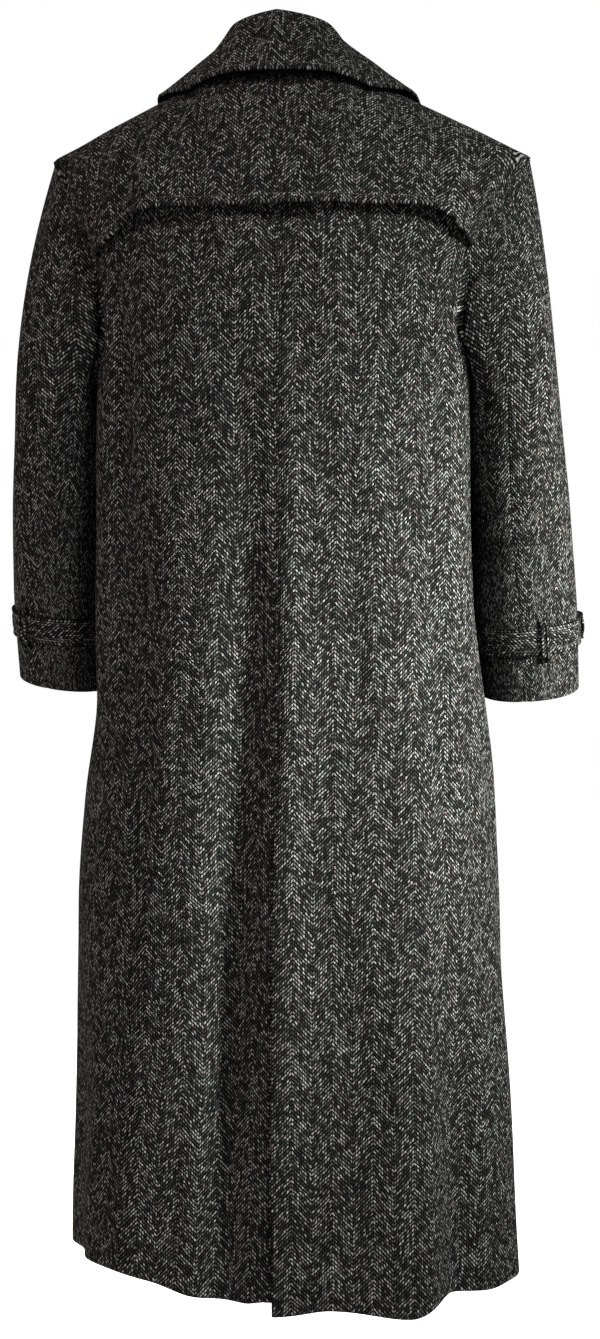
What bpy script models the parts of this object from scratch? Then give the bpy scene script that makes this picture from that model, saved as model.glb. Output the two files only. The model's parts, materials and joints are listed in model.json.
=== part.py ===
"""A long herringbone overcoat in its worn form, with no wearer: panels, yoke, collar, lapels and sleeves.

Metres. +X is the wearer's right, +Y the wearer's front and +Z up. The origin is the middle of the neck
opening, level with the inner ends of the shoulder seams, where the wearer's shoulders carry the coat.

A place on the body is a bearing and a rise. The bearing is in degrees round the body, 0 at the centre
back, 90 at the wearer's right side and 180 at the centre front. The rise is 0 at the hem, 1 at the
underarm and 2 at the top. A place on a sleeve is a turn and a fall. The turn is in degrees, 0 on the
outer side, 90 at the back and 180 on the side that faces the body. The fall is 0 at the armhole, 1 just
below the underarm and 2 at the cuff's edge.
"""

import math
from collections import namedtuple

import bmesh
import bpy
import numpy as np

# Cloth and seams
CLOTH = 0.0022
YOKE_CLOTH = 0.0022
COLLAR_CLOTH = 0.0032
LAPEL_CLOTH = 0.0028
STRAP_CLOTH = 0.0026
LOOP_CLOTH = 0.0018
SEAM_GAP = 0.0003

# Body
UNDERARM = -0.300
SHOULDER_HALF = 0.2592
SHOULDER_DROP = 0.0860
NECK_CENTRE = -0.006
NECK_HALF = 0.083
NECK_BACK = 0.078
NECK_TOP = 0.001
NECK_DIP = 0.006
SQUARENESS = 2.5
SHOULDER_ROLL = (3.0, 2.0)
NAPE_ROLL = (2.4, 1.35)

# Centre back vent
VENT_RISE = 0.47
VENT_UNDERLAP = 0.045
VENT_DEPTH = 0.0042
VENT_FLARE = 0.004
VENT_EASE = 0.075
VENT_TURN = 0.050
VENT_TURN_END = 0.006
VENT_HEM_STEP = 1.0

# Front closing
LAP = 0.032
LAP_LIFT = 0.0036
LAP_EASE = 0.045
BREAK_RISE = 0.965
FRONT_INNER_PART = 0.16

# Yoke: its free edge, and how it swings out towards that edge between its sewn ends
YOKE_CENTRE_DROP = -0.150
YOKE_END_DROP = -0.186
YOKE_BENDS = {1: (0.142, 0.201), -1: (0.122, 0.194)}
YOKE_BEND_POWER = 1.2
YOKE_STAND_OFF = 0.0065
YOKE_SWING_POWER = 1.5
YOKE_SEWN_PART = 0.35
YOKE_CLEAR = 0.0006
YOKE_CLEAR_PART = 0.1
YOKE_PARTS = (1.0, 0.985, 0.95, 0.88, 0.76, 0.60, 0.42, 0.22, 0.0)

# Sleeve caps and tubes
SLEEVE_ROUNDNESS = 0.92

# Straps and loops, from the cuff's edge up. A strap's end climbs over its start between two turns before it.
STRAP_CENTRE = 0.060
STRAP_WIDTH = 0.028
STRAP_CLEAR = 0.0008
STRAP_CLIMB = (60.0, 8.0)
STRAP_TIP_PART = 0.6
STRAP_POINT = 0.45
LOOP_WIDTH = 0.011
LOOP_LENGTH = 0.044
LOOP_CLEAR = 0.0022
LOOP_BOW = (0.66, 0.95)
LOOP_STEPS = 10

# Buttons
FRONT_BUTTON_RADIUS = 0.0145
FRONT_BUTTON_DEPTH = 0.0048
FRONT_BUTTON_RISES = (0.945, 0.800, 0.655, 0.510)
STRAP_BUTTON_RADIUS = 0.0095
STRAP_BUTTON_DEPTH = 0.0036
STRAP_BUTTON_INSET = 24.0
BUTTON_SIDES = 18

# Columns and rows of the solids' faces, and the tries that find a place on a curve
INNER_COLUMNS = 4
OUTER_COLUMNS = 9
LOWER_ROWS = 15
CLIMBS = (0.0, 0.03, 0.09, 0.19, 0.32, 0.46, 0.60, 0.73, 0.84, 0.92, 0.97, 1.0)
CAP_ROWS = 6
ARM_FALLS = (1.0, 1.22, 1.42, 1.58)
CUFF_FALLS = (1.92, 2.0)
TRIES = 24

# Finish
CLOTH_COLOUR = (0.045, 0.043, 0.042, 1.0)
CLOTH_ROUGHNESS = 0.95
BUTTON_COLOUR = (0.012, 0.010, 0.009, 1.0)
BUTTON_ROUGHNESS = 0.35
SHARP_ANGLE = math.radians(40.0)

Level = namedtuple("Level", "height left right back front")
LEVELS = [
    Level(-1.250, 0.2270, 0.2312, 0.168, 0.166),
    Level(-1.160, 0.2262, 0.2268, 0.165, 0.163),
    Level(-1.000, 0.2212, 0.2222, 0.159, 0.156),
    Level(-0.850, 0.2176, 0.2145, 0.152, 0.149),
    Level(-0.740, 0.2095, 0.2084, 0.146, 0.144),
    Level(-0.640, 0.1990, 0.2030, 0.140, 0.139),
    Level(-0.535, 0.1985, 0.1930, 0.136, 0.136),
    Level(-0.430, 0.1980, 0.1895, 0.134, 0.136),
    Level(-0.300, 0.1980, 0.1900, 0.137, 0.142),
]

Hem = namedtuple("Hem", "bearing height")
HEMS = [
    Hem(-200.0, -1.224),
    Hem(-150.0, -1.212),
    Hem(-90.0, -1.199),
    Hem(-45.0, -1.2015),
    Hem(-28.0, -1.2095),
    Hem(-14.0, -1.225),
    Hem(-5.0, -1.229),
    Hem(-VENT_HEM_STEP, -1.226),
    Hem(0.0, -1.238),
    Hem(10.0, -1.232),
    Hem(30.0, -1.240),
    Hem(44.0, -1.226),
    Hem(65.0, -1.228),
    Hem(90.0, -1.223),
    Hem(150.0, -1.226),
    Hem(200.0, -1.224),
]

Armhole = namedtuple("Armhole", "climb half back_cut front_cut")
ARMHOLES = [
    Armhole(0.00, 0.1980, 0.0, 0.0),
    Armhole(0.03, 0.1978, 8.0, 8.5),
    Armhole(0.08, 0.1980, 13.5, 14.5),
    Armhole(0.18, 0.1990, 19.0, 21.0),
    Armhole(0.35, 0.2030, 23.0, 26.0),
    Armhole(0.50, 0.2110, 24.0, 27.0),
    Armhole(0.65, 0.2270, 23.5, 26.0),
    Armhole(0.80, 0.2420, 22.5, 24.0),
    Armhole(0.92, 0.2520, 20.5, 21.0),
    Armhole(1.00, 0.2592, 19.0, 19.0),
]

# A fold's place is in quarters of the way round: 0 at the centre back, 1 at the right side, 2 in front.
# It grows from its top to its full depth, and dies away from its low height to its end.
Fold = namedtuple("Fold", "top_place end_place top full low end depth width")
PAST_HEM = -1.40
FOLDS = [
    Fold(-0.12, -0.16, -0.46, -1.10, PAST_HEM, -1.50, -0.020, 0.085),
    Fold(0.38, 0.44, -0.22, -1.05, PAST_HEM, -1.50, 0.011, 0.150),
    Fold(0.58, 0.63, -0.80, -1.22, PAST_HEM, -1.50, -0.024, 0.110),
    Fold(-0.63, -0.60, -0.13, -0.30, -0.50, -0.75, -0.006, 0.090),
    Fold(-0.42, -0.50, -0.70, -1.20, PAST_HEM, -1.50, 0.009, 0.140),
    Fold(-0.76, -0.78, -0.70, -1.20, PAST_HEM, -1.50, -0.010, 0.110),
    Fold(0.86, 0.92, -0.72, -1.20, PAST_HEM, -1.50, 0.008, 0.100),
    Fold(1.20, 1.27, -0.66, -1.15, PAST_HEM, -1.50, -0.013, 0.120),
    Fold(1.50, 1.58, -0.48, -1.15, PAST_HEM, -1.50, 0.011, 0.150),
    Fold(-1.18, -1.24, -0.68, -1.20, PAST_HEM, -1.50, -0.012, 0.120),
    Fold(-1.46, -1.54, -0.55, -1.10, PAST_HEM, -1.50, 0.010, 0.150),
    Fold(1.10, 1.12, -0.27, -0.38, -0.58, -0.72, -0.017, 0.190),
    Fold(-1.10, -1.12, -0.27, -0.38, -0.58, -0.72, -0.014, 0.190),
    Fold(0.80, 0.78, -0.24, -0.40, -0.58, -0.72, 0.004, 0.120),
    Fold(-0.82, -0.80, -0.24, -0.40, -0.58, -0.72, 0.004, 0.120),
]

Ring = namedtuple("Ring", "height across ahead half_width half_depth tilt lean")
RINGS = {
    1: [
        Ring(-0.628, 0.2470, 0.064, 0.0515, 0.0585, 0.22, 0.06),
        Ring(-0.536, 0.2405, 0.046, 0.0555, 0.0620, 0.17, 0.05),
        Ring(-0.452, 0.2355, 0.028, 0.0545, 0.0660, 0.08, 0.03),
        Ring(-0.360, 0.2320, 0.010, 0.0495, 0.0690, 0.00, 0.00),
    ],
    -1: [
        Ring(-0.6165, 0.2485, 0.070, 0.0510, 0.0585, 0.22, 0.13),
        Ring(-0.536, 0.2505, 0.050, 0.0505, 0.0620, 0.17, 0.09),
        Ring(-0.452, 0.2500, 0.028, 0.0480, 0.0660, 0.08, 0.04),
        Ring(-0.360, 0.2470, 0.010, 0.0450, 0.0690, 0.00, 0.00),
    ],
}

# Each sleeve's seams leave the armhole at the height of one of the body's rows, named by its climb
Sleeve = namedtuple(
    "Sleeve", "back_seam front_seam cap_spring under_spring loop_turn strap_start strap_end tip_flare"
)
SLEEVES = {
    1: Sleeve(0.46, 0.32, 0.20, 0.42, 70.0, -62.0, 346.0, 0.001),
    -1: Sleeve(0.60, 0.32, 0.25, 0.74, 56.0, -75.0, 328.0, 0.0),
}

SleeveFold = namedtuple("SleeveFold", "turn top cuff depth width")
SLEEVE_FOLDS = {
    1: [
        SleeveFold(66.0, 0.35, 1.40, 0.0035, 20.0),
        SleeveFold(150.0, 1.10, 1.75, -0.0060, 34.0),
        SleeveFold(300.0, 0.90, 1.60, -0.0040, 26.0),
    ],
    -1: [
        SleeveFold(60.0, 0.40, 1.50, -0.0030, 20.0),
        SleeveFold(140.0, 1.10, 1.70, -0.0040, 30.0),
        SleeveFold(300.0, 0.90, 1.60, -0.0040, 26.0),
    ],
}

# The collar's guide lines: how far round the neck, the stand's height and lean, and the place of its edge
CollarStation = namedtuple("CollarStation", "round stand lean edge_bearing edge_rise lift")
COLLAR = [
    CollarStation(0.00, 0.0575, 0.005, 0.0, 1.945, 0.0215),
    CollarStation(0.45, 0.0510, 0.016, 7.5, 1.938, 0.0170),
    CollarStation(0.80, 0.0430, 0.027, 15.5, 1.920, 0.0105),
    CollarStation(1.00, 0.0370, 0.030, 25.5, 2.000, 0.0080),
    CollarStation(1.30, 0.0220, 0.018, 28.5, 1.900, 0.0070),
    CollarStation(1.65, 0.0085, 0.005, 32.0, 1.810, 0.0070),
    CollarStation(2.00, 0.0045, 0.001, 34.0, 1.735, 0.0065),
]
COLLAR_STATIONS = 17
COLLAR_STEPS = (0.0, 0.16, 0.30, 0.40, 0.46, 0.50, 0.54, 0.60, 0.70, 0.85, 1.0)
COLLAR_ROLL = 0.018
COLLAR_SHIFT = -1.0
COLLAR_CLEAR = 0.002
STAND_PULL = 1.1
GORGE_CLIMB = 0.70
GORGE_GAP = 0.012

# The lapel's corners are distances across and heights, and its parts run from the roll line to its edge
LAPEL_TIP = (0.152, -0.128)
LAPEL_NOTCH = (0.110, -0.1015)
LAPEL_NOTCH_PART = 0.58
LAPEL_NOTCH_POWER = 4
LAPEL_BEGIN = (0.006, -0.002)
LAPEL_SWELL = (0.0108, -0.0048)
LAPEL_LIFT = 0.0035
LAPEL_ROLL_LIFT = 0.006
LAPEL_ROLL_PART = 0.625
LAPEL_ROWS = 10
LAPEL_COLUMNS = 7
LAPEL_START = {1: 0.05, -1: 0.40}

# A button's profile, from the middle of its face over the rim to the middle of its back
Turning = namedtuple("Turning", "radius_part depth_part")
BUTTON_PROFILE = [
    Turning(0.0, 0.62),
    Turning(0.55, 0.66),
    Turning(0.74, 0.95),
    Turning(0.90, 1.00),
    Turning(1.00, 0.72),
    Turning(0.94, 0.42),
    Turning(0.30, 0.30),
    Turning(0.28, 0.0),
    Turning(0.0, 0.0),
]


class Profile:
    """A smooth curve through one column of a table, read at a value of the table's first column."""

    def __init__(self, table, column):
        rows = sorted(table, key=lambda row: row[0])
        self.keys = [row[0] for row in rows]
        self.values = [getattr(row, column) for row in rows]
        spans = np.diff(self.keys)
        slopes = np.diff(self.values) / spans
        self.slopes = [slopes[0]]
        for before, after in zip(slopes[:-1], slopes[1:]):
            together = before * after > 0
            self.slopes.append(2 * before * after / (before + after) if together else 0.0)
        self.slopes.append(slopes[-1])

    def __call__(self, at):
        at = min(max(at, self.keys[0]), self.keys[-1])
        place = int(np.searchsorted(self.keys, at, side="right")) - 1
        place = min(max(place, 0), len(self.keys) - 2)
        span = self.keys[place + 1] - self.keys[place]
        part = (at - self.keys[place]) / span
        left = self.values[place]
        right = self.values[place + 1]
        ease = part * part * (3 - 2 * part)
        bend_left = span * self.slopes[place] * part * (1 - part) ** 2
        bend_right = span * self.slopes[place + 1] * part * part * (1 - part)
        return left + (right - left) * ease + bend_left - bend_right


HALF_WIDTH = {1: Profile(LEVELS, "right"), -1: Profile(LEVELS, "left")}
DEPTH = {-1: Profile(LEVELS, "back"), 1: Profile(LEVELS, "front")}
HEM_HEIGHT = Profile(HEMS, "height")
ARMHOLE_HALF = Profile(ARMHOLES, "half")
ARMHOLE_CUT = {-1: Profile(ARMHOLES, "back_cut"), 1: Profile(ARMHOLES, "front_cut")}
RING = {side: {name: Profile(rows, name) for name in Ring._fields[1:]} for side, rows in RINGS.items()}
COLLAR_LINE = {name: Profile(COLLAR, name) for name in CollarStation._fields[1:]}


def ease(low, high, value):
    """0 up to low, 1 from high on, and a smooth step between them."""
    part = min(max((value - low) / (high - low), 0.0), 1.0)
    return part * part * (3 - 2 * part)


def sign(value):
    return 1 if value >= 0 else -1


def power(value, exponent):
    return math.copysign(abs(value) ** exponent, value)


def unit(vector):
    return vector / np.linalg.norm(vector)


def oval(bearing):
    """The body's rounded oblong section, one unit across and one unit deep each way, at a bearing."""
    turn = math.radians(bearing)
    return power(math.sin(turn), 2 / SQUARENESS), -power(math.cos(turn), 2 / SQUARENESS)


def back_bearing_at(part):
    """The bearing on the back where the section is this part of its half width across."""
    return math.degrees(math.asin(power(min(max(part, -1.0), 1.0), SQUARENESS / 2)))


def quarter_lengths():
    """How far round the back's quarter each whole bearing from 0 to 90 is, as a part of its length."""
    middle = LEVELS[len(LEVELS) // 2]
    spots = [(middle.right * across, middle.back * along) for across, along in map(oval, range(91))]
    steps = [math.dist(start, end) for start, end in zip(spots[:-1], spots[1:])]
    return np.concatenate([[0.0], np.cumsum(steps) / sum(steps)])


QUARTER = quarter_lengths()


def place_round(bearing):
    """How far round the body a bearing is, in quarters: 0 at the centre back and 2 at the centre front."""
    turn = (bearing + 180.0) % 360.0 - 180.0
    from_back = np.interp(90.0 - abs(90.0 - abs(turn)), range(91), QUARTER)
    return sign(turn) * (from_back if abs(turn) <= 90.0 else 2.0 - from_back)


def fold_depth(bearing, height):
    """How far the folds move the cloth out at a bearing and a height."""
    here = place_round(bearing)
    depth = 0.0
    for fold in FOLDS:
        grown = ease(-fold.top, -fold.full, -height)
        reach = grown * (1 - ease(-fold.low, -fold.end, -height))
        centre = fold.top_place + (fold.end_place - fold.top_place) * grown
        away = (here - centre + 2.0) % 4.0 - 2.0
        if abs(away) < 2 * fold.width:
            depth += fold.depth * reach * math.cos(math.pi / 4 * away / fold.width) ** 4
    return depth


def top_line(across_part):
    """The point of the neckline or shoulder seam that lies this part of the shoulder's half width across."""
    across = across_part * SHOULDER_HALF
    from_neck = abs(across - NECK_CENTRE) / NECK_HALF
    if from_neck < 1:
        around = math.sqrt(1 - from_neck**2)
        return across, NECK_BACK * around, NECK_TOP - NECK_DIP * around, from_neck
    tip = SHOULDER_HALF - NECK_HALF
    return across, 0.0, NECK_TOP - SHOULDER_DROP * (from_neck - 1) * NECK_HALF / tip, 1.0


def body_point(bearing, rise, hem_bearing=None):
    """A point of the body's outer face, on the hem of another bearing where one is given."""
    across, along = oval(bearing)
    side = sign(across)
    face = sign(along)
    if rise <= 1:
        hem_bearing = bearing if hem_bearing is None else hem_bearing
        hem = HEM_HEIGHT((hem_bearing + 180.0) % 360.0 - 180.0)
        height = hem + rise * (UNDERARM - hem)
        half = HALF_WIDTH[side](height)
        depth = DEPTH[face](height)
        place = np.array([across * half, along * depth, height])
    else:
        climb = rise - 1
        half = ARMHOLE_HALF(climb) + (HALF_WIDTH[side](UNDERARM) - ARMHOLES[0].half) * (1 - climb)
        depth = DEPTH[face](UNDERARM)
        _, neck_depth, top_height, from_neck = top_line(across)
        first = NAPE_ROLL[0] + (SHOULDER_ROLL[0] - NAPE_ROLL[0]) * from_neck
        second = NAPE_ROLL[1] + (SHOULDER_ROLL[1] - NAPE_ROLL[1]) * from_neck
        roll = (1 - climb**first) ** (1 / second)
        top_along = face * neck_depth
        height = UNDERARM + climb * (top_height - UNDERARM)
        place = np.array([across * half, top_along + (along * depth - top_along) * roll, height])
    out = np.array([power(across, SQUARENESS - 1) / half, power(along, SQUARENESS - 1) / depth, 0.0])
    return place + unit(out) * fold_depth(bearing, place[2])


def body_normal(bearing, rise):
    """The direction straight out of the body's outer face."""
    step = 0.6
    reach = 0.03
    across = body_point(bearing + step, rise) - body_point(bearing - step, rise)
    up = body_point(bearing, min(rise + reach, 2.0)) - body_point(bearing, max(rise - reach, 0.0))
    normal = unit(np.cross(across, up))
    if rise == 2.0 and top_line(oval(bearing)[0])[1] < SEAM_GAP:
        normal[1] = 0.0
    return unit(normal)


def body_height(bearing, rise):
    return body_point(bearing, rise)[2]


def armhole_bearing(side, face, rise):
    """The bearing of a panel's outer edge: the side seam up to the underarm and the armhole above it."""
    cut = ARMHOLE_CUT[face](rise - 1) if rise > 1 else 0.0
    return side * (90.0 + face * cut)


def neck_bearing(side):
    """The bearing of the inner end of a shoulder seam on the back."""
    return back_bearing_at((NECK_CENTRE + side * NECK_HALF) / SHOULDER_HALF)


def front_edge_bearing(side, rise):
    """The bearing of a front's inner edge: its lapped edge up to the break, then the roll line."""
    lap = -side * LAP
    if rise <= BREAK_RISE:
        across = lap
    else:
        neck = NECK_CENTRE + side * NECK_HALF
        across = lap + (neck - lap) * (rise - BREAK_RISE) / (2 - BREAK_RISE)
    if rise <= 1:
        half = HALF_WIDTH[sign(across)](body_height(180.0, rise))
    else:
        half = ARMHOLE_HALF(rise - 1)
    return side * (180.0 - side * back_bearing_at(across / half))


def front_lift(side, bearing, rise):
    """How far the right front stands out where it laps over the left one."""
    if side < 0:
        return 0.0
    across = body_point(bearing, rise)[0]
    return LAP_LIFT * ease(-LAP - LAP_EASE, -LAP, -across)


def front_point(side, bearing, rise, out=0.0):
    """A point on a front, moved out from its outer face."""
    lift = front_lift(side, bearing, rise) + out
    return body_point(bearing, rise) + body_normal(bearing, rise) * lift


def front_place(across, height):
    """The bearing and rise of the point of the front that lies at a distance across and a height."""
    climb = 0.5
    for _ in range(TRIES):
        part = across / ARMHOLE_HALF(climb)
        bearing = 180.0 - back_bearing_at(part)
        top_height = top_line(oval(bearing)[0])[2]
        climb = min(max((height - UNDERARM) / (top_height - UNDERARM), 0.0), 1.0)
    return bearing, 1 + climb


def back_lift(side, bearing, rise):
    """The underlap's step in and the overlap's flare out, beside the vent."""
    open_part = 1 - ease(VENT_RISE, VENT_RISE + VENT_EASE, rise)
    across = body_point(bearing, rise)[0]
    if side < 0:
        return -VENT_DEPTH * open_part * ease(-VENT_TURN, -VENT_TURN_END, across)
    flare = 1 - ease(0.0, VENT_RISE, rise)
    return VENT_FLARE * flare * ease(-VENT_TURN, 0.0, -across)


def back_point(side, bearing, rise, out=0.0):
    """A point on a half of the back, moved out from its outer face."""
    lift = back_lift(side, bearing, rise) + out
    hem_bearing = min(bearing, -VENT_HEM_STEP) if side < 0 else bearing
    return body_point(bearing, rise, hem_bearing) + body_normal(bearing, rise) * lift


def spread(start, end, count):
    return [start + (end - start) * step / count for step in range(count + 1)]


def rises():
    lower = spread(0.0, 1.0, LOWER_ROWS)
    return lower[:-1] + [1 + climb for climb in CLIMBS]


def grid(rows, columns, place):
    return np.array([[place(row, column) for column in columns] for row in rows])


def trimmed(points, amount=SEAM_GAP / 2):
    """The grid with its four edges drawn in, so that it stops short of its neighbours at the seams."""
    result = points.copy()
    pairs = ((result[0], points[1] - points[0]), (result[-1], points[-2] - points[-1]))
    pairs += ((result[:, 0], points[:, 1] - points[:, 0]), (result[:, -1], points[:, -2] - points[:, -1]))
    for edge, inwards in pairs:
        lengths = np.linalg.norm(inwards, axis=-1, keepdims=True)
        edge += inwards / np.maximum(lengths, 1e-9) * amount
    return result


def add_material(name, colour, roughness):
    material = bpy.data.materials.new(name)
    material.use_nodes = True
    shader = material.node_tree.nodes["Principled BSDF"]
    shader.inputs["Base Color"].default_value = colour
    shader.inputs["Roughness"].default_value = roughness
    shader.inputs["Metallic"].default_value = 0.0
    return material


def add_object(name, mesh, material):
    mesh.materials.append(material)
    piece = bpy.data.objects.new(name, mesh)
    bpy.context.scene.collection.objects.link(piece)
    return piece


def add_wall(name, outer, inner, material, cells=None):
    """A closed wall between an outer and an inner grid, over all their cells or over those that are named."""
    row_count, column_count = outer.shape[:2]
    if cells is None:
        cells = [(row, column) for row in range(row_count - 1) for column in range(column_count - 1)]
    shape = bmesh.new()
    corners = {}

    def corner(layer, row, column):
        key = (layer, row, column)
        if key not in corners:
            points = outer if layer == 0 else inner
            corners[key] = shape.verts.new(points[row][column])
        return corners[key]

    edges = {}
    for row, column in cells:
        loop = [(row, column), (row, column + 1), (row + 1, column + 1), (row + 1, column)]
        shape.faces.new([corner(0, *place) for place in loop])
        shape.faces.new([corner(1, *place) for place in reversed(loop)])
        for start, end in zip(loop, loop[1:] + loop[:1]):
            key = frozenset((start, end))
            edges[key] = None if key in edges else (start, end)
    for border in edges.values():
        if border:
            start, end = border
            shape.faces.new([corner(0, *end), corner(0, *start), corner(1, *start), corner(1, *end)])
    bmesh.ops.recalc_face_normals(shape, faces=shape.faces)
    mesh = bpy.data.meshes.new(name)
    shape.to_mesh(mesh)
    shape.free()
    mesh.shade_smooth()
    mesh.set_sharp_from_angle(angle=SHARP_ANGLE)
    return add_object(name, mesh, material)


def back_columns(side, rise):
    neck = neck_bearing(side)
    edge = armhole_bearing(side, -1, rise)
    return spread(0.0, neck, INNER_COLUMNS) + spread(neck, edge, OUTER_COLUMNS)[1:]


def add_back(side, material):
    """One half of the back, with the vent's underlap on the left half."""
    rows = rises()
    outer = []
    inner = []
    for rise in rows:
        bearings = back_columns(side, rise)
        outer.append([back_point(side, bearing, rise) for bearing in bearings])
        inner.append([back_point(side, bearing, rise, -CLOTH) for bearing in bearings])
    outer = trimmed(np.array(outer))
    inner = trimmed(np.array(inner))
    name = "back_right" if side > 0 else "back_left"
    if side > 0:
        return add_wall(name, outer, inner, material)
    under_outer = []
    under_inner = []
    for rise in rows:
        half = HALF_WIDTH[1](body_height(0.0, rise))
        bearings = [back_bearing_at(VENT_UNDERLAP * part / half) for part in (1.0, 0.5)]
        under_outer.append([back_point(side, bearing, rise) for bearing in bearings])
        under_inner.append([back_point(side, bearing, rise, -CLOTH) for bearing in bearings])
    extra = len(under_outer[0])
    outer = np.concatenate([np.array(under_outer), outer], axis=1)
    inner = np.concatenate([np.array(under_inner), inner], axis=1)
    vent_rows = [row for row in range(len(rows) - 1) if rows[row + 1] <= VENT_RISE]
    cells = [(row, column) for row in vent_rows for column in range(extra)]
    cells += [(row, column) for row in range(len(rows) - 1) for column in range(extra, outer.shape[1] - 1)]
    return add_wall(name, outer, inner, material, cells)


def front_columns(side, rise):
    edge = front_edge_bearing(side, rise)
    neck = side * 180.0 - neck_bearing(side)
    seam = armhole_bearing(side, 1, rise)
    if rise > BREAK_RISE:
        part = (rise - BREAK_RISE) / (2 - BREAK_RISE)
        neck = neck + (edge - neck) * part
    inner = spread(edge, neck + (seam - neck) * FRONT_INNER_PART, INNER_COLUMNS)
    return inner + spread(inner[-1], seam, OUTER_COLUMNS)[1:]


def add_front(side, material):
    """One front, from its lapped edge and roll line to the side seam and armhole."""
    outer = []
    inner = []
    for rise in rises():
        bearings = front_columns(side, rise)
        outer.append([front_point(side, bearing, rise) for bearing in bearings])
        inner.append([front_point(side, bearing, rise, -CLOTH) for bearing in bearings])
    name = "front_right" if side > 0 else "front_left"
    return add_wall(name, trimmed(np.array(outer)), trimmed(np.array(inner)), material)


def yoke_edge_height(across):
    """The height of the yoke's free edge: level over the back, curving down to the armholes."""
    bend = ease(*YOKE_BENDS[sign(across)], abs(across)) ** YOKE_BEND_POWER
    return YOKE_CENTRE_DROP + (YOKE_END_DROP - YOKE_CENTRE_DROP) * bend


def add_yoke(material):
    """The storm yoke, from the back's own points moved out, standing off more towards its free edge."""
    left = [(-1, place) for place in range(INNER_COLUMNS + OUTER_COLUMNS, 0, -1)]
    columns = left + [(1, place) for place in range(INNER_COLUMNS + OUTER_COLUMNS + 1)]
    outer = []
    inner = []
    for part in YOKE_PARTS:
        outer_row = []
        inner_row = []
        for side, place in columns:
            low = 1.0
            high = 2.0
            for _ in range(TRIES):
                middle = (low + high) / 2
                point = body_point(back_columns(side, middle)[place], middle)
                low, high = (middle, high) if point[2] < yoke_edge_height(point[0]) else (low, middle)
            rise = low + (2.0 - low) * part
            bearing = back_columns(side, rise)[place]
            sewn = abs(place - (INNER_COLUMNS + OUTER_COLUMNS)) / OUTER_COLUMNS
            off = YOKE_STAND_OFF * (1 - part) ** YOKE_SWING_POWER * ease(0.0, YOKE_SEWN_PART, sewn)
            clear = SEAM_GAP + YOKE_CLEAR * ease(0.0, YOKE_CLEAR_PART, 1 - part)
            base = body_point(bearing, rise)
            normal = body_normal(bearing, rise)
            outer_row.append(base + normal * (clear + off + YOKE_CLOTH))
            inner_row.append(base + normal * (clear + off))
        outer.append(outer_row)
        inner.append(inner_row)
    return add_wall("yoke", trimmed(np.array(outer)), trimmed(np.array(inner)), material)


def neck_path(side, along):
    """The collar's seam line: the back neckline from the centre back to 1, then the roll line down to 2."""
    if along <= 1:
        neck = neck_bearing(side)
        middle = back_bearing_at(NECK_CENTRE / SHOULDER_HALF)
        start = math.radians(90.0 * along)
        across = NECK_CENTRE + side * NECK_HALF * math.sin(start)
        bearing = neck if along == 1 else back_bearing_at(across / SHOULDER_HALF)
        return body_point(bearing if along else middle, 2.0)
    rise = 2.0 - (along - 1) * (1 - GORGE_CLIMB)
    bearing = front_edge_bearing(side, rise)
    return front_point(side, bearing, rise)


def hermite(start, start_pull, end, end_pull, part):
    square = part * part
    cube = square * part
    first = (2 * cube - 3 * square + 1) * start + (cube - 2 * square + part) * start_pull
    second = (3 * square - 2 * cube) * end + (cube - square) * end_pull
    return first + second


def collar_section(side, along):
    """The points of one section of the collar: up the stand, over the roll and down the fall to the edge."""
    line = {name: profile(along) for name, profile in COLLAR_LINE.items()}
    seam = neck_path(side, along)
    centre = np.array([NECK_CENTRE, 0.0, seam[2]])
    out = unit(seam - centre)
    up = np.array([0.0, 0.0, 1.0])
    foot = seam + up * (YOKE_CLOTH + COLLAR_CLEAR)
    roll = foot + up * line["stand"] - out * line["lean"]
    bearing = side * line["edge_bearing"] + COLLAR_SHIFT
    if along > 1:
        bearing = side * 180.0 - bearing
    normal = body_normal(bearing, line["edge_rise"])
    edge = body_point(bearing, line["edge_rise"]) + normal * line["lift"]
    spring = unit(edge - roll - up * (edge - roll)[2])
    pull = spring * COLLAR_ROLL
    points = []
    for step in COLLAR_STEPS:
        if step <= 0.5:
            points.append(hermite(foot, up * line["stand"] * STAND_PULL, roll, pull, step * 2))
        else:
            points.append(hermite(roll, pull, edge, edge - roll, step * 2 - 1))
    return points


def add_collar(material):
    """The collar in one piece, from one front end round the back of the neck to the other."""
    half = spread(0.0, 2.0, COLLAR_STATIONS)
    stations = [(-1, along) for along in reversed(half[1:])] + [(1, along) for along in half]
    outer = np.array([collar_section(side, along) for side, along in stations])
    inner = offset_grid(outer, COLLAR_CLOTH)
    return add_wall("collar", outer, inner, material)


def offset_grid(points, thickness):
    """A grid moved by a thickness to the side that its rows and columns turn towards."""
    along = np.gradient(points, axis=0)
    across = np.gradient(points, axis=1)
    normals = np.cross(along, across)
    normals /= np.linalg.norm(normals, axis=-1, keepdims=True)
    return points - normals * thickness


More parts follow.
